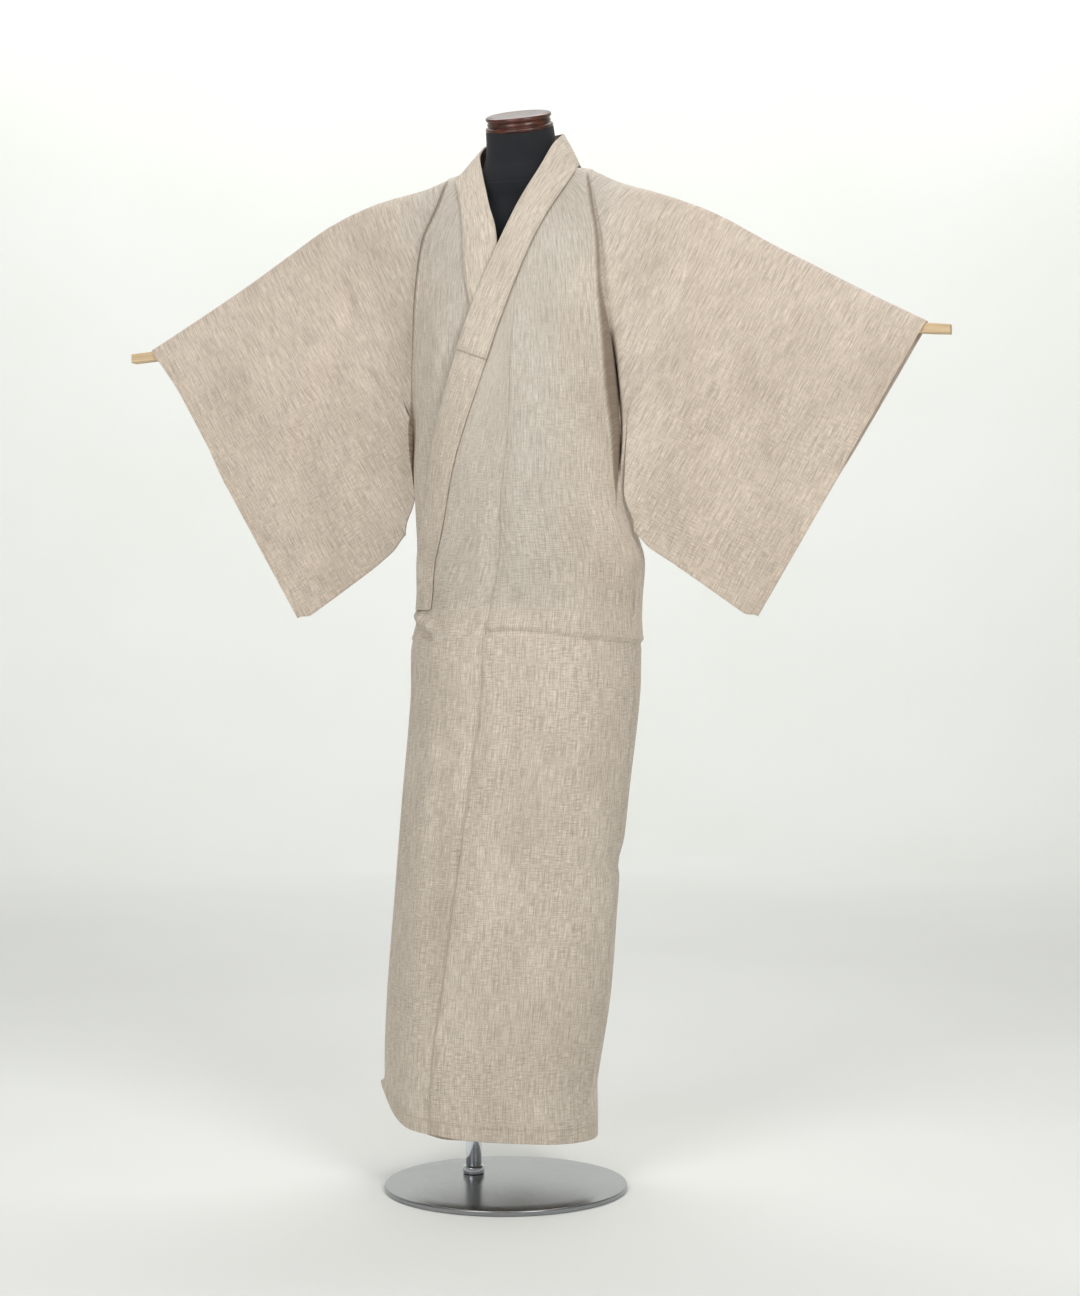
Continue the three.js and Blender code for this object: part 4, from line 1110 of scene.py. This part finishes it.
def metal_material(name, tones, roughness, scale):
    """Metal with a faint cloudy wear and fine marks."""
    skin = Surface(name)
    place = skin.place()
    cloud = skin.noise(place, (6.0, 6.0, 6.0), 3.0, 0.5)
    marks = skin.noise(place, scale, 2.0, 0.6)
    base = skin.blend(skin.remap(cloud, 0.3, 0.7, 0, 1), *tones)
    worn = skin.remap(marks, 0.3, 0.7, roughness * 0.85, roughness * 1.15)
    skin.feed(skin.shader.inputs["Roughness"], worn)
    skin.bump(marks, 0.02, 0.0001)
    return skin.dress(base, {"Metallic": 1.0})


def plain_piece(name, points, faces, material, replaced, slot, smooth_angle=40):
    mesh = bpy.data.meshes.new(name)
    mesh.from_pydata([tuple(c * MM for c in p) for p in points], [], faces)
    edit = bmesh.new()
    edit.from_mesh(mesh)
    bmesh.ops.remove_doubles(edit, verts=edit.verts, dist=1e-6)
    bmesh.ops.recalc_face_normals(edit, faces=edit.faces)
    for face in edit.faces:
        face.smooth = True
    for edge in edit.edges:
        if len(edge.link_faces) == 2 and edge.calc_face_angle() > math.radians(smooth_angle):
            edge.smooth = False
    edit.to_mesh(mesh)
    edit.free()
    return add_piece(name, mesh, material, replaced, slot)


def circle(count):
    """Even turns round a circle, in radians."""
    return [2 * math.pi * j / count for j in range(count)]


def rings_mesh(rings):
    """Points and faces of rings of points, closed at both ends."""
    n = len(rings[0])
    points = [p for ring in rings for p in ring]
    faces = []
    for i in range(len(rings) - 1):
        for j in range(n):
            k = (j + 1) % n
            faces.append((i * n + j, i * n + k, (i + 1) * n + k, (i + 1) * n + j))
    faces.append(tuple(range(n - 1, -1, -1)))
    faces.append(tuple((len(rings) - 1) * n + j for j in range(n)))
    return points, faces


def turned_rings(profile, centre, axis, sides):
    """Rings of a turned shape: profile is radius and height along the axis."""
    up = Vector(axis).normalized()
    side = up.orthogonal().normalized()
    other = up.cross(side)
    rings = []
    for radius, height in profile:
        middle = Vector(centre) + up * height
        spokes = [side * math.cos(turn) + other * math.sin(turn) for turn in circle(sides)]
        rings.append([tuple(middle + spoke * radius) for spoke in spokes])
    return rings


def rounded_profile(radius, foot, head, fillet, steps=5):
    """A disc or rod with rounded rims."""
    turns = [math.pi / 2 * i / steps for i in range(steps + 1)]
    rim = radius - fillet
    lower = [(rim + fillet * math.sin(turn), foot + fillet - fillet * math.cos(turn)) for turn in turns]
    upper = [(rim + fillet * math.cos(turn), head - fillet + fillet * math.sin(turn)) for turn in turns]
    return lower + upper


# Seams of the form's cover: round the foot of the neck and up its sides.
NECK_SEAM_Z = 1490.0
SIDE_SEAM_TURNS = (-51.0, -129.0)
TORSO_SIDES = 144
CAP_SIDES = 96
PLATE_SIDES = 160
POLE_SIDES = 64
AXIS_R = 0.01
UPRIGHT = (0, 0, 1)


def torso_piece(material):
    half, deep, middle, tilt = readers(FORM)
    rings = []
    for z in chain(FORM[0][0], (836, 1), (860, 3), (1400, 12), (1470, 3), (FORM[-1][0], 1.5)):
        ring = []
        lean = tilt(z)
        for turn in circle(TORSO_SIDES):
            groove = 0.8 * hump(z, NECK_SEAM_Z, 1.3)
            for at in SIDE_SEAM_TURNS:
                groove = max(groove, 0.6 * hump(math.degrees(turn) - 360 * (turn > math.pi), at, 0.9))
            reach = (deep(z) - groove) * math.sin(turn)
            x = FORM_X + (half(z) - groove) * math.cos(turn)
            ring.append((x, FORM_Y + middle(z) + reach * cos_deg(lean), z + reach * sin_deg(lean)))
        rings.append(ring)
    return plain_piece("dress_form_torso", *rings_mesh(rings), material, "form_torso", "form_cloth")


def cap_piece(material):
    radius = reader([(h, r) for r, h in CAP_PROFILE], 1)
    top_r, top_h = CAP_PROFILE[-1]
    profile = [(AXIS_R, 0.0)] + [(radius(h), h) for h in spread(0, top_h, 0.35)]
    profile += [(top_r - 1.2, top_h + 0.25), (top_r - 4, top_h + 0.1), (10, top_h), (AXIS_R, top_h)]
    axis = (0, -sin_deg(CAP_TILT), cos_deg(CAP_TILT))
    neck_z, neck_y = FORM[-1][0], FORM[-1][3]
    centre = (FORM_X, FORM_Y + neck_y + axis[1] * SEAM_GAP, neck_z + axis[2] * SEAM_GAP)
    rings = turned_rings(profile, centre, axis, CAP_SIDES)
    return plain_piece("neck_cap_turned", *rings_mesh(rings), material, "neck_cap", "cap_wood", 55)


def bar_piece(material):
    """The bar's section has small rounded edges, and it bows down to its ends."""
    section = []
    y, h = BAR_DEEP / 2 - BAR_FILLET, BAR_TALL / 2 - BAR_FILLET
    for corner, (cy, ch) in enumerate(((y, h), (-y, h), (-y, -h), (y, -h))):
        for i in range(4):
            turn = math.pi / 2 * (corner + i / 3)
            section.append((cy + BAR_FILLET * math.cos(turn), ch + BAR_FILLET * math.sin(turn)))
    full, small = (1.0, 1.0), (0.93, 0.9)
    last = BAR_HALF - BAR_END_STEP
    stations = [(x, full) for x in spread(-BAR_HALF, BAR_HALF, 24)[1:-1]]
    # The right end closes on the smaller section, the left one on a full face just inside it.
    stations = [(-BAR_HALF, small), (-last, full), *stations, (BAR_HALF, small), (last, full)]
    rings = []
    for x, (deep, tall) in stations:
        z = BAR_Z - BAR_BOW * x * x - BAR_TILT * x
        rings.append([(FORM_X + x, FORM_Y + a * deep, z + b * tall) for a, b in section])
    return plain_piece("sleeve_bar_rod", *rings_mesh(rings), material, "sleeve_bar", "bar_wood")


def stand_pieces(steel, chrome):
    plate = [(AXIS_R, 0.0)] + rounded_profile(PLATE_R, 0.0, PLATE_THICK, 2.2)
    plate += [(PLATE_R * k, PLATE_THICK) for k in (0.8, 0.5, 0.2)] + [(AXIS_R, PLATE_THICK)]
    rings = turned_rings(plate, (0, 0, 0), UPRIGHT, PLATE_SIDES)
    plain_piece("base_plate_disc", *rings_mesh(rings), steel, "base_plate", "base_steel", 50)
    foot = PLATE_THICK + SEAM_GAP
    head = FORM[0][0] - SEAM_GAP
    rod = rounded_profile(POLE_R, foot, head, 0.6, 3)
    rod = rod[:4] + [(POLE_R, z) for z in spread(foot + 30, head - 30, 60)] + rod[4:]
    rings = turned_rings(rod, (*POLE_AT, 0), UPRIGHT, POLE_SIDES)
    plain_piece("pole_tube", *rings_mesh(rings), chrome, "pole", "chrome", 50)
    bore = POLE_R + SEAM_GAP
    socket = [(bore, 0), (SOCKET_R - 0.8, 0), (SOCKET_R, 0.8), (SOCKET_R, SOCKET_TALL - 3),
              (SOCKET_R - 0.8, SOCKET_TALL - 1.2), (SOCKET_R - 2.4, SOCKET_TALL), (bore, SOCKET_TALL)]
    rings = turned_rings(socket, (*POLE_AT, foot), UPRIGHT, POLE_SIDES)
    points, faces = rings_mesh(rings)
    # The bore's wall takes the place of the two end caps.
    n = POLE_SIDES
    top = (len(socket) - 1) * n
    faces = faces[:-2] + [(j, (j + 1) % n, top + (j + 1) % n, top + j) for j in range(n)]
    plain_piece("pole_socket_ring", points, faces, chrome, "pole_socket", "chrome", 30)


# Camera, studio and lights, in metres.
CAMERA_AZIMUTH = 17.0
CAMERA_DISTANCE = 3.45
CAMERA_HEIGHT = 0.797
CAMERA_TARGET = (0.048, 0.0147)
CAMERA_LENS = 64.88
SENSOR = 36.0
FRAME_SHAPE = 1080 / 1296
STUDIO_RADIUS = 8.0
STUDIO_TURN = 3.0
STUDIO_TALL = 7.0
STUDIO_SIDES = 72
TURN_STEPS = 12
GROUND_DROP = 0.0002
WORLD_LIGHT = 0.14
# name, place, size, power, target; places are right, up and away as the camera sees them
LIGHTS = (
    ("key_near", (1.5, 2.4, -2.7), (1.1, 1.1), 33, (0.3, 1.3, 0.0)),
    ("front_left", (-1.5, 2.2, -2.7), (1.3, 1.3), 31, (-0.2, 1.25, 0.0)),
    ("over_back", (0.0, 3.4, 1.2), (3.0, 1.2), 48, (0.0, 0.0, 1.0)),
    ("over_front", (0.0, 3.2, -1.6), (3.0, 0.8), 20, (0.0, 0.0, -1.3)),
    ("back_wash", (0.0, 5.6, 4.2), (7.0, 1.0), 212, (0.0, 3.7, 8.0)),
)


def stage_piece():
    """Pale floor that turns up into a pale wall, far off all round."""
    skin = Surface("studio_ground")
    cloud = skin.noise(skin.place(), (0.8, 0.8, 0.8), 2.0, 0.5)
    base = skin.blend(skin.remap(cloud, 0.3, 0.7, 0, 1), *GROUND_PALE)
    material = skin.dress(base, {"Roughness": 0.85, "Specular IOR Level": 0.2})
    flat = STUDIO_RADIUS - STUDIO_TURN
    profile = [(reach, 0.0) for reach in (1.0, 2.5, 4.0, flat)]
    for i in range(1, TURN_STEPS + 1):
        turn = math.pi / 2 * i / TURN_STEPS
        profile.append((flat + STUDIO_TURN * math.sin(turn), STUDIO_TURN * (1 - math.cos(turn))))
    profile.append((STUDIO_RADIUS, STUDIO_TALL))
    points = [(0.0, 0.0, -GROUND_DROP)]
    for reach, height in profile:
        for turn in circle(STUDIO_SIDES):
            points.append((reach * math.cos(turn), reach * math.sin(turn), height - GROUND_DROP))
    faces = []
    for j in range(STUDIO_SIDES):
        k = (j + 1) % STUDIO_SIDES
        faces.append((0, 1 + j, 1 + k))
        for i in range(len(profile) - 1):
            low, high = 1 + i * STUDIO_SIDES, 1 + (i + 1) * STUDIO_SIDES
            faces.append((low + j, high + j, high + k, low + k))
    mesh = bpy.data.meshes.new("studio_ground")
    mesh.from_pydata(points, [], faces)
    mesh.polygons.foreach_set("use_smooth", [True] * len(mesh.polygons))
    mesh.materials.append(material)
    ground = bpy.data.objects.new("studio_ground", mesh)
    bpy.context.collection.objects.link(ground)


def camera():
    azimuth = math.radians(CAMERA_AZIMUTH)
    data = bpy.data.cameras.new("camera")
    data.sensor_fit = "VERTICAL"
    data.sensor_height = SENSOR
    data.sensor_width = SENSOR * FRAME_SHAPE
    data.lens = CAMERA_LENS
    data.clip_end = 50
    made = bpy.data.objects.new("camera", data)
    made.location = (
        CAMERA_TARGET[0] + math.sin(azimuth) * CAMERA_DISTANCE,
        CAMERA_TARGET[1] - math.cos(azimuth) * CAMERA_DISTANCE,
        CAMERA_HEIGHT,
    )
    made.rotation_euler = (math.pi / 2, 0, azimuth)
    bpy.context.collection.objects.link(made)
    bpy.context.scene.camera = made


def soft_light(name, place, size, power, target):
    azimuth = math.radians(CAMERA_AZIMUTH)
    across = Vector((math.cos(azimuth), math.sin(azimuth), 0))
    deep = Vector((-math.sin(azimuth), math.cos(azimuth), 0))
    data = bpy.data.lights.new(name, "AREA")
    data.shape = "RECTANGLE"
    data.size, data.size_y = size
    data.energy = power
    made = bpy.data.objects.new(name, data)
    at, aim = [across * right + deep * away + Vector((0, 0, up)) for right, up, away in (place, target)]
    made.location = at
    made.rotation_euler = (aim - at).to_track_quat("-Z", "Y").to_euler()
    made.visible_camera = False
    bpy.context.collection.objects.link(made)


def lights():
    for row in LIGHTS:
        soft_light(*row)
    world = bpy.data.worlds.new("studio")
    world.use_nodes = True
    background = world.node_tree.nodes["Background"]
    background.inputs["Color"].default_value = (1.0, 1.0, 1.0, 1.0)
    background.inputs["Strength"].default_value = WORLD_LIGHT
    bpy.context.scene.world = world


camera()
bpy.context.scene.view_settings.view_transform = "Standard"
sheets = [make(side) for side in (LEFT, RIGHT) for make in (body_panel, overlap_panel, sleeve_sheet)]
sheets.append(band_sheet("collar", BAND, COLLAR_END_Z, 0.0, COLLAR_SHIFT))
sheets.append(band_sheet("collar_cover", CLOTH, COVER_END_Z, COVER_STEP, COVER_SHIFT))
cloth = cloth_material()
pieces = {sheet.node: sheet.build(cloth) for sheet in sheets}

torso_piece(form_material())
cap_piece(wood_material("cap_varnish", CAP_RED, 0.36, 0.28, (90.0, 12.0, 90.0)))
bar_piece(wood_material("bar_pale_wood", BAR_PALE, 0.55, 0.0, (8.0, 160.0, 160.0)))
stand_pieces(
    metal_material("base_satin_steel", SATIN_STEEL, 0.24, (300.0, 300.0, 300.0)),
    metal_material("pole_chrome", CHROME, 0.09, (200.0, 200.0, 40.0)),
)

stage_piece()
lights()
